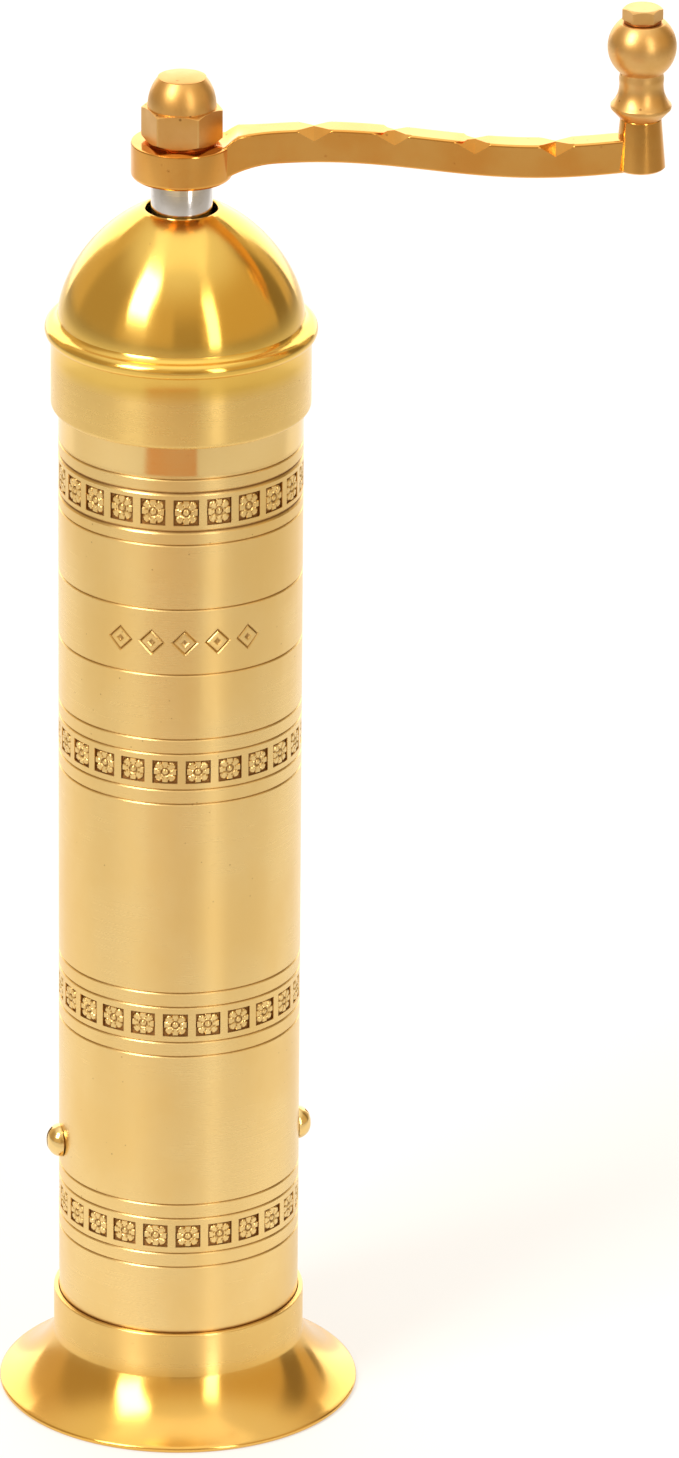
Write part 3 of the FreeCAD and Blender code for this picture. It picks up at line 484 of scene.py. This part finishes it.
def flowerRing(bm, z, phase, heavy):
    inner = tube["heavyOffset"] if heavy else tube["innerLine"]
    scale = tube["heavyLine"] if heavy else 1.0
    half = tube["tallHalf"] if heavy else tube["squareHalf"]
    squareTurn = math.radians(tube["squareTurn"])
    outline = groove(z - tube["outerLine"]) + groove(z - inner, scale) + squareRows(z, half)
    outline += groove(z + inner, scale) + groove(z + tube["outerLine"])
    faces = sector(bm, outline, squareTurn)
    square = ringFaces(faces, z - half, z + half, squareTurn / 2)
    inset = tube["wallInset"]
    bmesh.ops.inset_region(bm, faces=square, thickness=inset, depth=-tube["recess"], use_boundary=True,
                           use_even_offset=True)
    floor = tube["radius"] - tube["recess"]
    flower = [f for f in square if f.is_valid]
    relief(bm, flower, z, half - inset, squareTurn / 2 - inset / tube["radius"], tube["cuts"],
           lambda u, v: floor + tube["petalRise"] * flowerAt(u, v))
    around(bm, list(bm.faces), tube["panels"])
    bmesh.ops.rotate(bm, verts=bm.verts, cent=ground, matrix=Matrix.Rotation(math.radians(phase), 3, "Z"))


def lozengeRing(bm):
    z = tube["lozengeRow"]
    half = tube["lozengeHalf"]
    squareTurn = panelTurn * tube["lozengeShare"]
    outline = groove(z - tube["outerLine"]) + squareRows(z, half) + groove(z + tube["outerLine"])
    carved = sector(bm, outline, squareTurn)
    square = ringFaces(carved, z - half, z + half, squareTurn / 2)
    relief(bm, square, z, half, squareTurn / 2, tube["cuts"] + 2,
           lambda u, v: tube["radius"] - tube["lineDepth"] * lozengeAt(u, v))
    carved = list(bm.faces)
    start = -panelTurn * (tube["lozenges"] - 1) / 2
    around(bm, carved, tube["lozenges"], start)
    plain = sector(bm, outline, squareTurn)
    around(bm, plain, tube["panels"] - tube["lozenges"], start + panelTurn * tube["lozenges"])
    turn = Matrix.Rotation(math.radians(tube["lozengeTurn"]), 3, "Z")
    bmesh.ops.rotate(bm, verts=bm.verts, cent=ground, matrix=turn)


def tubeEnds(bm):
    low = bottom("body_tube")
    high = top("body_tube")
    edge = tube["radius"] - tube["chamfer"]
    spun(bm, [(tube["radius"], low + tube["chamfer"]), (edge, low), (tube["bore"], low),
              (tube["bore"], high), (edge, high), (tube["radius"], high - tube["chamfer"])],
         tube["panels"] * 6, closed=False)


def openLoop(bm, z):
    return [e for e in bm.edges if len(e.link_faces) == 1 and all(abs(v.co.z - z) < 1e-6 for v in e.verts)]


def wholeTube(bm):
    # rings are made one by one, then the plain stretches between them are bridged
    heights = []
    makers = [(z, lambda part, z=z, turn=turn: flowerRing(part, z, turn, z == max(tube["rows"])))
              for z, turn in tube["rows"].items()]
    makers.append((tube["lozengeRow"], lozengeRing))
    makers.append((0.0, tubeEnds))
    for z, make in makers:
        part = bmesh.new()
        make(part)
        bmesh.ops.remove_doubles(part, verts=part.verts, dist=1e-6)
        mesh = bpy.data.meshes.new("ring")
        part.to_mesh(mesh)
        part.free()
        bm.from_mesh(mesh)
        bpy.data.meshes.remove(mesh)
        if z:
            reach = tube["outerLine"] + tube["lineHalf"]
            heights += [z - reach, z + reach]
    low = bottom("body_tube") + tube["chamfer"]
    high = top("body_tube") - tube["chamfer"]
    heights = [low] + sorted(heights) + [high]
    for first, second in zip(heights[0::2], heights[1::2]):
        bmesh.ops.bridge_loops(bm, edges=openLoop(bm, first) + openLoop(bm, second))
    bmesh.ops.recalc_face_normals(bm, faces=bm.faces)


tubePiece = solid("brassTube", wholeTube)
screwLow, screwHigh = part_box("carrier_screws")
screwZ = (screwLow.z + screwHigh.z) / 2
screwTurn = math.radians(191.0)


def acrossBar(bm, radius, length):
    spun(bm, [(0, -length), (radius, -length), (radius, length), (0, length)], 48, closed=False)
    lay = Matrix.Rotation(screwTurn, 4, "Z") @ Matrix.Rotation(math.pi / 2, 4, "Y")
    bmesh.ops.transform(bm, verts=bm.verts, matrix=Matrix.Translation((0, 0, screwZ)) @ lay)


combine(tubePiece, [solid("drill", acrossBar, tube["screwHole"], 0.03)], "DIFFERENCE")
dress(tubePiece, "base", "body_tube", [tubeBrass], 28)
print("tube made")

# ---- flared foot
foot = {"rimHeight": 0.9 * mm, "rimInset": 0.25 * mm, "rimFlat": 0.35 * mm, "rimTurn": 0.42 * mm,
        "wall": 1.2 * mm, "rimWall": 1.56 * mm, "flareTop": 9.3 * mm, "flareSag": 1.05 * mm,
        "collar": 19.83 * mm, "seat": 9.5 * mm, "slip": 0.03 * mm, "lip": 0.3 * mm,
        "within": 0.01 * mm}


def bowed(a, b, sag):
    dr = b[0] - a[0]
    dz = b[1] - a[1]
    length = math.hypot(dr, dz)
    return ((a[0] + b[0]) / 2 - sag * dz / length, (a[1] + b[1]) / 2 + sag * dr / length)


def flaredFoot(bm):
    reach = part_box("flared_foot")[1].x - foot["within"]
    high = top("flared_foot")
    rimLow = (reach - foot["rimFlat"], 0)
    rimHigh = (reach - foot["rimInset"], foot["rimHeight"])
    flareEnd = (foot["collar"], foot["flareTop"])
    under = (tube["bore"], foot["flareTop"] - foot["wall"])
    inside = (reach - foot["rimWall"], 0)
    outline = [inside, rimLow] + arc(rimLow, (reach, foot["rimTurn"]), rimHigh, 6)
    outline += arc(rimHigh, bowed(rimHigh, flareEnd, foot["flareSag"]), flareEnd, 26)
    lip = foot["lip"]
    lipLow = (foot["collar"], high - lip)
    lipMiddle = (foot["collar"] - 0.3 * lip, high - 0.3 * lip)
    outline += [lipLow] + arc(lipLow, lipMiddle, (foot["collar"] - lip, high), 4)
    bore = tube["radius"] + foot["slip"]
    outline += [(bore + 0.1 * mm, high), (bore, high - 0.15 * mm), (bore, foot["seat"]),
                (tube["bore"], foot["seat"]), under]
    outline += arc(under, bowed(under, inside, -foot["flareSag"]), inside, 20)[:-1]
    spun(bm, outline, 180)


footPiece = solid("flaredFoot", flaredFoot)
dress(footPiece, "base", "flared_foot", [footBrass], 30)

# ---- domed lid
lid = {"bore": 19.1 * mm, "skirt": 20.15 * mm, "flare": 0.2 * mm, "flareLength": 2.4 * mm,
       "beadStand": 0.95 * mm, "beadHalf": 1.15 * mm, "beadRise": 2.45 * mm, "beadTop": 0.1 * mm,
       "flareBow": 0.06 * mm, "gutter": 0.12 * mm, "domeRise": 4.4 * mm, "domeHeight": 19.3 * mm,
       "fullness": 1.704, "wall": 1.1 * mm,
       "hole": 5.6 * mm, "holeEdge": 0.5 * mm, "edge": 0.8 * mm}


def domeCurve(base, z, height, last, count):
    # superellipse from the dome's foot to the edge of its hole
    share = lid["fullness"] / 2
    end = math.acos((last / base) ** share)
    turns = [end * i / count for i in range(count + 1)]
    return [(base * math.cos(t) ** (1 / share), z + height * math.sin(t) ** (1 / share)) for t in turns]


def domedLid(bm):
    rim = top("body_tube")
    low = bottom("dome_lid")
    bead = rim + lid["beadRise"]
    beadLow = (lid["skirt"] + lid["flare"], bead - lid["beadHalf"])
    beadSide = (lid["skirt"] + lid["beadStand"], bead)
    beadHigh = (lid["skirt"] + lid["beadTop"], bead + lid["beadHalf"])
    turn = (lid["skirt"], beadLow[1] - lid["flareLength"])
    middle = ((turn[0] + beadLow[0]) / 2 - lid["flareBow"], (turn[1] + beadLow[1]) / 2)
    edgeLow = (lid["skirt"] - lid["edge"], low)
    edgeHigh = (lid["skirt"], low + lid["edge"])
    inset = lid["edge"] * (1 - math.sqrt(0.5))
    outline = [(lid["bore"], low), edgeLow]
    outline += arc(edgeLow, (lid["skirt"] - inset, low + inset), edgeHigh, 7) + [turn]
    outline += arc(turn, middle, beadLow, 8)
    outline += arc(beadLow, beadSide, beadHigh, 14)
    base = rim + lid["domeRise"]
    start = (lid["bore"], base)
    gutter = ((beadHigh[0] + start[0]) / 2 - lid["gutter"], (beadHigh[1] + start[1]) / 2 - lid["gutter"])
    outline += arc(beadHigh, gutter, start, 6)[:-1]
    outline += domeCurve(lid["bore"], base, lid["domeHeight"], lid["hole"] + lid["holeEdge"], 44)
    crest = outline[-1][1]
    outline += [(lid["hole"] + 0.12 * mm, crest), (lid["hole"], crest - 0.12 * mm)]
    inner = domeCurve(lid["bore"] - lid["wall"], base, lid["domeHeight"] - lid["wall"], lid["hole"], 30)
    outline += inner[::-1] + [(lid["bore"] - lid["wall"], rim), (lid["bore"], rim)]
    spun(bm, outline, 180)


lidPiece = solid("domedLid", domedLid)
dress(lidPiece, "lid", "dome_lid", [lidBrass], 30)
print("foot and lid made")

# ---- crank: hub, curved arm with bevelled edges and V cuts, boss for the knob
crank = {"hub": 7.85 * mm, "hubEdge": 0.8 * mm, "hubHeight": 5.7 * mm, "hole": 5.1 * mm,
         "reach": 70.2 * mm, "width": 4.5 * mm, "height": 5.3 * mm, "swing": 1.2 * mm, "crest": 21.5 * mm,
         "trough": 54.0 * mm, "middleRise": 4.4 * mm, "neckWidth": 10.0 * mm, "neckLength": 6.5 * mm,
         "rampStart": 6.9 * mm, "rampEnd": 9.1 * mm, "webDrop": 2.2 * mm, "edge": 0.4 * mm,
         "notches": 4, "notchFirst": 20.2 * mm, "notchLast": 57.2 * mm, "notchHalf": 3.3 * mm,
         "notchDepth": 1.8 * mm, "notchGap": 0.11 * mm, "bossHeight": 8.1 * mm, "bossLow": 3.9 * mm,
         "bossHigh": 3.2 * mm, "bossRise": 1.75 * mm, "boltHole": 2.03 * mm, "boltDepth": 6.9 * mm}
hubLow = bottom("crank_arm")
hubHigh = hubLow + crank["hubHeight"]


def armMiddle(x):
    turn = math.pi * (x - crank["crest"]) / (crank["trough"] - crank["crest"])
    return hubLow + crank["middleRise"] + crank["swing"] * math.cos(turn)


def hubShape(bm):
    edge = crank["hubEdge"]
    low = (crank["hub"] - edge, hubLow)
    side = (crank["hub"], hubLow + edge)
    corner = edge * (1 - math.sqrt(0.5))
    outline = [(0, hubLow), low] + arc(low, (crank["hub"] - corner, hubLow + corner), side, 6)
    outline += [(crank["hub"], hubHigh - 0.3 * mm), (crank["hub"] - 0.09 * mm, hubHigh - 0.09 * mm),
                (crank["hub"] - 0.3 * mm, hubHigh), (0, hubHigh)]
    spun(bm, outline, 120, closed=False)


def armShape(bm):
    start = crank["hub"] / 2
    length = crank["reach"] - start
    made = bmesh.ops.create_grid(bm, x_segments=72, y_segments=6, size=1)
    for v in made["verts"]:
        x = start + length * (v.co.x + 1) / 2
        share = max(0.0, 1 - (x - start) / (start + crank["neckLength"]))
        half = (crank["width"] + (crank["neckWidth"] - crank["width"]) * share ** 2) / 2
        v.co = Vector((x, v.co.y * half, armMiddle(x) + crank["height"] / 2))
    lowered = bmesh.ops.extrude_face_region(bm, geom=list(bm.faces))
    under = {v for v in lowered["geom"] if isinstance(v, bmesh.types.BMVert)}
    for v in bm.verts:
        share = max(0.0, 1 - (v.co.x - start) / (start + crank["neckLength"]))
        if v in under:
            v.co.z = armMiddle(v.co.x) - crank["height"] / 2 - crank["webDrop"] * share ** 2
            continue
        ramp = step(math.hypot(v.co.x, v.co.y), crank["rampStart"], crank["rampEnd"])
        v.co.z = hubHigh - 0.15 * mm + (v.co.z - hubHigh + 0.15 * mm) * ramp
    bmesh.ops.recalc_face_normals(bm, faces=bm.faces)
    soften(bm, crank["edge"], 3, 50)


def notchShape(bm, x, way):
    # pointed wedge that opens a V in one long edge of the arm's top
    z = armMiddle(x) + crank["height"] / 2
    over = 0.4 * mm
    half = crank["width"] / 2
    grow = (half + over) / half
    wide = crank["notchHalf"] * grow
    depth = crank["notchDepth"] * grow
    side = way * (half + over)
    above = z + 0.2 * mm
    corners = [(x, way * crank["notchGap"], z + 0.07 * mm), (x - wide, side, above), (x + wide, side, above),
               (x, side, z - depth)]
    bmesh.ops.convex_hull(bm, input=[bm.verts.new(c) for c in corners])
    bmesh.ops.recalc_face_normals(bm, faces=bm.faces)


def bossShape(bm):
    low = hubLow + crank["bossRise"]
    high = low + crank["bossHeight"]
    wide = crank["bossLow"]
    narrow = crank["bossHigh"]
    outline = [(0, low), (wide - 0.25 * mm, low), (wide, low + 0.25 * mm), (narrow, high - 0.25 * mm),
               (narrow - 0.25 * mm, high), (0, high)]
    spun(bm, outline, 72, (crank["reach"], 0), closed=False)


def squareHole(bm):
    prism(bm, 4, crank["hole"], hubLow - mm, hubHigh + mm, 45)


def boltHole(bm):
    high = hubLow + crank["bossRise"] + crank["bossHeight"]
    low = high - crank["boltDepth"]
    outline = [(0, low), (crank["boltHole"], low), (crank["boltHole"], high + mm), (0, high + mm)]
    spun(bm, outline, 32, (crank["reach"], 0), closed=False)


crankPiece = solid("crankArm", armShape)
combine(crankPiece, [solid("hub", hubShape), solid("boss", bossShape)], "UNION")
cuts = []
for i in range(crank["notches"]):
    x = crank["notchFirst"] + (crank["notchLast"] - crank["notchFirst"]) * i / (crank["notches"] - 1)
    cuts += [solid("notch", notchShape, x, way) for way in (-1, 1)]
cuts += [solid("squareHole", squareHole), solid("boltHole", boltHole)]
combine(crankPiece, cuts, "DIFFERENCE")
dress(crankPiece, "crank", "crank_arm", [crankBrass], 40)
flatten(crankPiece)
print("crank made")

# ---- acorn nut and its washer
nut = {"flats": 11.0 * mm, "hexHeight": 5.3 * mm, "chamfer": 0.85 * mm, "slope": math.tan(math.radians(30)),
       "turn": 23.4, "bell": 5.3 * mm, "crown": 6.41 * mm, "bore": 2.55 * mm, "boreDepth": 8.6 * mm,
       "edge": 0.22 * mm, "washer": 5.0 * mm}
nutLow = bottom("acorn_nut")
nutHigh = top("acorn_nut")
hexHigh = nutLow + nut["hexHeight"]


def hexCone(bm, low, high, corner, chamfer, slope, centre=(0, 0)):
    outline = [(0, low), (corner - chamfer, low), (corner + 0.2 * mm, low + (chamfer + 0.2 * mm) * slope),
               (corner + 0.2 * mm, high - (chamfer + 0.2 * mm) * slope), (corner - chamfer, high), (0, high)]
    spun(bm, outline, 144, centre, closed=False)


def bellShape(bm):
    height = nutHigh - hexHigh
    crown = nut["bell"] * math.sqrt(1 - (height / nut["crown"]) ** 2)
    turns = [math.asin(height / nut["crown"]) * i / 16 for i in range(17)]
    outline = [(0, hexHigh - 0.6 * mm), (nut["bell"], hexHigh - 0.6 * mm)]
    outline += [(nut["bell"] * math.cos(t), hexHigh + nut["crown"] * math.sin(t)) for t in turns[:-1]]
    outline += [(crown + 0.25 * mm, nutHigh - 0.12 * mm), (crown - 0.25 * mm, nutHigh), (0, nutHigh)]
    spun(bm, outline, 96, closed=False)


def hexBar(bm, flats, low, high, turn, edge, centre=(0, 0)):
    prism(bm, 6, flats, low, high, turn, centre)
    upright = [e for e in bm.edges if abs(e.verts[0].co.z - e.verts[1].co.z) > edge]
    bmesh.ops.bevel(bm, geom=upright, offset=edge, offset_type="OFFSET", segments=3, profile=0.5,
                    affect="EDGES", material=-1, clamp_overlap=True)


nutPiece = solid("acornNut", hexBar, nut["flats"], nutLow, hexHigh, nut["turn"] - 90, nut["edge"])
corner = nut["flats"] / math.sqrt(3)
nutCone = solid("cone", hexCone, nutLow, hexHigh, corner, nut["chamfer"], nut["slope"])
combine(nutPiece, [nutCone], "INTERSECT")
combine(nutPiece, [solid("bell", bellShape)], "UNION")
boreHigh = nutLow + nut["boreDepth"]
bore = [(0, nutLow - mm), (nut["bore"], nutLow - mm), (nut["bore"], boreHigh), (0, boreHigh)]
combine(nutPiece, [solid("bore", spun, bore, 48, closed=False)], "DIFFERENCE")
dress(nutPiece, "nut", "acorn_nut", [nutBrass], 40)
flatten(nutPiece)


def flatRing(bm, outer, inner, low, high, centre=(0, 0)):
    spun(bm, [(inner, low), (outer, low), (outer, high), (inner, high)], 72, centre)
    soften(bm, 0.08 * mm, 2)


washerPiece = solid("nutWasher", flatRing, nut["washer"], nut["bore"], bottom("nut_washer"),
                    top("nut_washer"))
dress(washerPiece, "crank", "nut_washer", [shadedWasherBrass], 30)

# ---- turned knob, its washer and the hexagon bolt
knob = {"bottom": 3.3 * mm, "flange": 4.68 * mm, "flangeRise": 1.5 * mm, "band": 0.5 * mm, "neck": 3.45 * mm,
        "neckRise": 6.0 * mm, "crease": 3.3 * mm, "ball": 5.29 * mm, "ballRise": 11.4 * mm, "bore": 2.05 * mm,
        "flats": 5.5 * mm, "boltChamfer": 0.6 * mm, "washer": 2.9 * mm, "washerBore": 2.03 * mm,
        "boltEdge": 0.15 * mm, "boltSlope": 0.62, "shank": 2.0 * mm, "edge": 0.06 * mm}
knobPlace = (crank["reach"], 0)


def knobShape(bm):
    low = bottom("knob")
    high = top("knob")
    ball = low + knob["ballRise"]
    flangeHigh = low + knob["flangeRise"] + knob["band"]
    neckZ = low + knob["neckRise"]
    creaseZ = ball - math.sqrt(knob["ball"] ** 2 - knob["crease"] ** 2)
    topRadius = math.sqrt(knob["ball"] ** 2 - (high - ball) ** 2)
    waist = ((knob["flange"] + knob["neck"]) / 2 - 0.3 * mm, flangeHigh + 0.35 * (neckZ - flangeHigh))
    flange = (knob["flange"], flangeHigh)
    neck = (knob["neck"], neckZ)
    outline = [(knob["bore"], low), (knob["bottom"], low), (knob["flange"], low + knob["flangeRise"]), flange]
    outline += arc(flange, waist, neck, 12)
    outline += [(knob["neck"], neckZ + 0.35 * (creaseZ - neckZ)), (knob["crease"], creaseZ)]
    outline += arc((knob["crease"], creaseZ), (knob["ball"], ball), (topRadius, high), 34)
    outline += [(knob["bore"], high)]
    spun(bm, outline, 96, knobPlace)
    soften(bm, knob["edge"], 2, 24)


knobPiece = solid("turnedKnob", knobShape)
dress(knobPiece, "knob", "knob", [nutBrass], 30)

washerPiece = solid("knobWasher", flatRing, knob["washer"], knob["washerBore"], bottom("knob_washer"),
                    top("knob_washer"), knobPlace)
dress(washerPiece, "crank", "knob_washer", [shadedWasherBrass], 30)

headLow = top("knob_washer")
headHigh = top("knob_bolt")
boltPiece = solid("knobBolt", hexBar, knob["flats"], headLow, headHigh, 0, knob["boltEdge"], knobPlace)
boltCorner = knob["flats"] / math.sqrt(3)
boltCone = solid("cone", hexCone, headLow - 2 * mm, headHigh, boltCorner, knob["boltChamfer"],
                 knob["boltSlope"], knobPlace)
combine(boltPiece, [boltCone], "INTERSECT")
shankLow = bottom("knob_bolt")
shankHigh = headLow + 0.3 * mm
shank = [(0, shankLow), (knob["shank"], shankLow), (knob["shank"], shankHigh), (0, shankHigh)]
combine(boltPiece, [solid("shank", spun, shank, 48, knobPlace, closed=False)], "UNION")
dress(boltPiece, "crank", "knob_bolt", [nutBrass], 40)
flatten(boltPiece)
print("nut and knob made")

# ---- slotted screws that hold the burr carrier
screw = {"head": 2.65 * mm, "height": 2.2 * mm, "shank": 2.0 * mm, "length": 4.6 * mm, "slot": 0.6 * mm,
         "slotDepth": 0.9 * mm, "slotTilt": 8.0, "foot": 0.35 * mm}


def screwShape(bm):
    # head's face towards +Z, seat at zero
    shoulder = (0.72 * screw["head"], 0.74 * screw["height"])
    crown = arc((screw["head"], screw["foot"]), shoulder, (0, screw["height"]), 12)
    outline = [(0, -screw["length"]), (screw["shank"] - 0.3 * mm, -screw["length"]),
               (screw["shank"], -screw["length"] + 0.3 * mm), (screw["shank"], 0), (screw["head"], 0),
               (screw["head"], screw["foot"])] + crown
    spun(bm, outline, 64, closed=False)


def slotShape(bm):
    bmesh.ops.create_cube(bm, size=1)
    bmesh.ops.scale(bm, vec=(screw["slot"], 4 * screw["head"], 2 * screw["slotDepth"]), verts=bm.verts)
    bmesh.ops.translate(bm, vec=up * screw["height"], verts=bm.verts)
    turn = Matrix.Rotation(math.pi / 2 + math.radians(screw["slotTilt"]), 3, "Z")
    bmesh.ops.rotate(bm, verts=bm.verts, cent=ground, matrix=turn)


screwPiece = solid("carrierScrews", screwShape)
combine(screwPiece, [solid("slot", slotShape)], "DIFFERENCE")
pair = bmesh.new()
for turn in (screwTurn, screwTurn + math.pi):
    before = set(pair.verts)
    pair.from_mesh(screwPiece.data)
    fresh = [v for v in pair.verts if v not in before]
    lay = Matrix.Translation((tube["radius"], 0, 0)) @ Matrix.Rotation(math.pi / 2, 4, "Y")
    seat = Matrix.Translation((0, 0, screwZ)) @ Matrix.Rotation(turn, 4, "Z")
    bmesh.ops.transform(pair, verts=fresh, matrix=seat @ lay)
pair.to_mesh(screwPiece.data)
pair.free()
dress(screwPiece, "base", "carrier_screws", [screwBrass], 30)

# ---- plated collar on the shaft
collar = {"bore": 4.0 * mm, "neck": 3.55 * mm, "neckLength": 0.6 * mm, "edge": 0.15 * mm}
collarLow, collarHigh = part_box("shaft_collar")


def collarShape(bm):
    outer = collarHigh.x
    low = collarLow.z
    high = collarHigh.z
    seat = high - collar["neckLength"]
    spun(bm, [(collar["bore"], low), (outer, low), (outer, high), (collar["neck"], high),
              (collar["neck"], seat), (collar["bore"], seat)], 96)
    soften(bm, collar["edge"], 2)


collarPiece = solid("shaftCollar", collarShape)
dress(collarPiece, "rotor", "shaft_collar", [chromeSteel], 30)
print("screws and collar made")

# ---- parts inside keep their own meshes
insideFinishes = {"drive_shaft": shaftSteel, "thrust_ball": shaftSteel, "burr_ring": burrSteel,
                  "burr_cone": burrSteel, "burr_carrier": castAluminium, "ring_retainer": zincSteel,
                  "bottom_bridge": zincSteel, "guide_bridge": zincSteel, "bridge_screws": zincSteel,
                  "guide_screws": zincSteel, "adjuster_lock_nut": zincSteel, "cone_clip": zincSteel,
                  "spring_seat": zincSteel, "guide_bush": bushBronze, "adjusting_screw": adjusterBrass,
                  "return_spring": springSteel}
for name, material in insideFinishes.items():
    mesh = nodes[name].data
    mesh.materials.clear()
    mesh.materials.append(material)

# ---- floor, light and camera
stage = {"floorRadius": 9.0, "floorTone": (0.42, 0.42, 0.42), "poolCentre": 0.34, "poolNear": 0.375,
         "poolFar": 0.44, "glowNear": 0.5, "glowFar": 0.28, "reachNear": 0.7, "reachFar": 0.86, "dim": 0.73,
         "bright": 1.0, "dimTone": (1.0, 0.76, 0.43), "brightTone": (1.0, 0.96, 0.88)}
black = (0, 0, 0, 1)
white = (1, 1, 1, 1)

floorMesh = bmesh.new()
bmesh.ops.create_circle(floorMesh, cap_ends=True, segments=96, radius=stage["floorRadius"])
floor = holder("floor", floorMesh)
r = Recipe(bpy.data.materials.new("paleFloor"))
x, y, z = r.axes(r.place())
away = (x * x + (y - stage["poolCentre"]) * (y - stage["poolCentre"])) ** 0.5
glow = r.ramp(away, stage["poolNear"], stage["poolFar"], stage["glowNear"], stage["glowFar"])
surface = r.add("ShaderNodeBsdfPrincipled", values={"Base Color": (*stage["floorTone"], 1), "Roughness": 0.7,
                                                    "Specular IOR Level": 0.1})
glow = glow * r.ramp(away, stage["reachNear"], stage["reachFar"], 1.0, 0.0)
light = r.add("ShaderNodeEmission", values={"Color": r.blend(glow, black, white), "Strength": 1.0})
both = r.add("ShaderNodeAddShader", values={0: surface, 1: light})
r.add("ShaderNodeOutputMaterial", values={0: both})
floor.data.materials.append(r.owner)

# dark sheet that stands in for shade: it lies on the floor in front, hidden from the camera and from light,
# only to paint a dark reflection under the lid
card = {"place": (-0.06, -0.4, 0.002), "width": 0.34, "depth": 0.12, "tone": (0.42, 0.19, 0.06, 1)}
cardMesh = bmesh.new()
bmesh.ops.create_grid(cardMesh, x_segments=1, y_segments=1, size=0.5)
bmesh.ops.scale(cardMesh, vec=(card["width"], card["depth"], 1), verts=cardMesh.verts)
bmesh.ops.translate(cardMesh, vec=card["place"], verts=cardMesh.verts)
shadeCard = holder("shadeCard", cardMesh)
r = Recipe(bpy.data.materials.new("shadeCard"))
shadeCard.data.materials.append(finish(r, {"Base Color": card["tone"], "Roughness": 0.8}))
shadeCard.visible_camera = False
shadeCard.visible_shadow = False
shadeCard.visible_diffuse = False

world = bpy.data.worlds.new("studio")
bpy.context.scene.world = world
w = Recipe(world)
x, y, z = w.axes(w.add("ShaderNodeTexCoord", output=0))
level = (x * x + y * y + 0.0001) ** 0.5


def band(azimuth, half):
    # 1 inside an upright stripe of the surroundings, azimuth from the front towards +X
    turn = math.radians(azimuth)
    near = (x * math.sin(turn) - y * math.cos(turn)) / level
    return w.ramp(near, math.cos(math.radians(half * 1.25)), math.cos(math.radians(half * 0.75)))


low = w.ramp(z, 0.85, 0.6)
high = w.ramp(z, 0.55, 0.9)
shade = stage["dim"] + high * (stage["bright"] - stage["dim"])
shade = shade * (1 - 0.6 * band(112, 10) * low) * (1 - 0.3 * band(-88, 24) * low)
shade = shade * (1 - 0.35 * band(6, 13) * w.ramp(z, 0.6, 0.35)) * (1 - 0.6 * band(141, 5) * low)
tone = w.blend(high, (*stage["dimTone"], 1), (*stage["brightTone"], 1))
sky = w.add("ShaderNodeBackground", values={"Color": w.blend(shade, black, tone), "Strength": 1.0})
w.add("ShaderNodeOutputWorld", values={0: sky})


def softBox(name, azimuth, elevation, distance, width, height, radiance):
    # rectangular lamp that faces the mill
    turn, rise = math.radians(azimuth), math.radians(elevation)
    away = Vector((math.sin(turn) * math.cos(rise), -math.cos(turn) * math.cos(rise), math.sin(rise)))
    data = bpy.data.lights.new(name, "AREA")
    data.shape = "RECTANGLE"
    data.size = width
    data.size_y = height
    data.energy = 4 * width * height * radiance
    lamp = bpy.data.objects.new(name, data)
    bpy.context.scene.collection.objects.link(lamp)
    lamp.location = Vector((0, 0, 0.12)) + away * distance
    lamp.rotation_mode = "QUATERNION"
    lamp.rotation_quaternion = away.to_track_quat("Z", "Y")
    lamp.visible_camera = False


softBox("backWall", 180, 19, 1.3, 2.1, 1.2, 1.25)
softBox("leftBox", -46, 42, 1.5, 0.5, 0.85, 8.0)
softBox("rightStrip", 31, 22, 1.5, 0.28, 1.2, 3.4)
softBox("topBox", 0, 88, 1.5, 1.2, 1.2, 0.3)

lens = {"place": (0.003712, -1.67372, 0.80312), "pitch": 22.4357, "yaw": 0.7256, "roll": 0.4993,
        "length": 286.08}
pitch, yaw, roll = (math.radians(lens[k]) for k in ("pitch", "yaw", "roll"))
ahead = Vector((math.sin(yaw) * math.cos(pitch), math.cos(yaw) * math.cos(pitch), -math.sin(pitch)))
sideways = Vector((math.cos(yaw), -math.sin(yaw), 0))
rise = sideways.cross(ahead)
right = sideways * math.cos(roll) + rise * math.sin(roll)
above = rise * math.cos(roll) - sideways * math.sin(roll)
camera = bpy.data.objects.new("camera", bpy.data.cameras.new("camera"))
bpy.context.scene.collection.objects.link(camera)
camera.data.lens = lens["length"]
camera.data.clip_start = 0.01
camera.matrix_world = Matrix.Translation(lens["place"]) @ Matrix((right, above, -ahead)).transposed().to_4x4()
bpy.context.scene.camera = camera
bpy.context.scene.view_settings.view_transform = "Standard"
print("stage set")
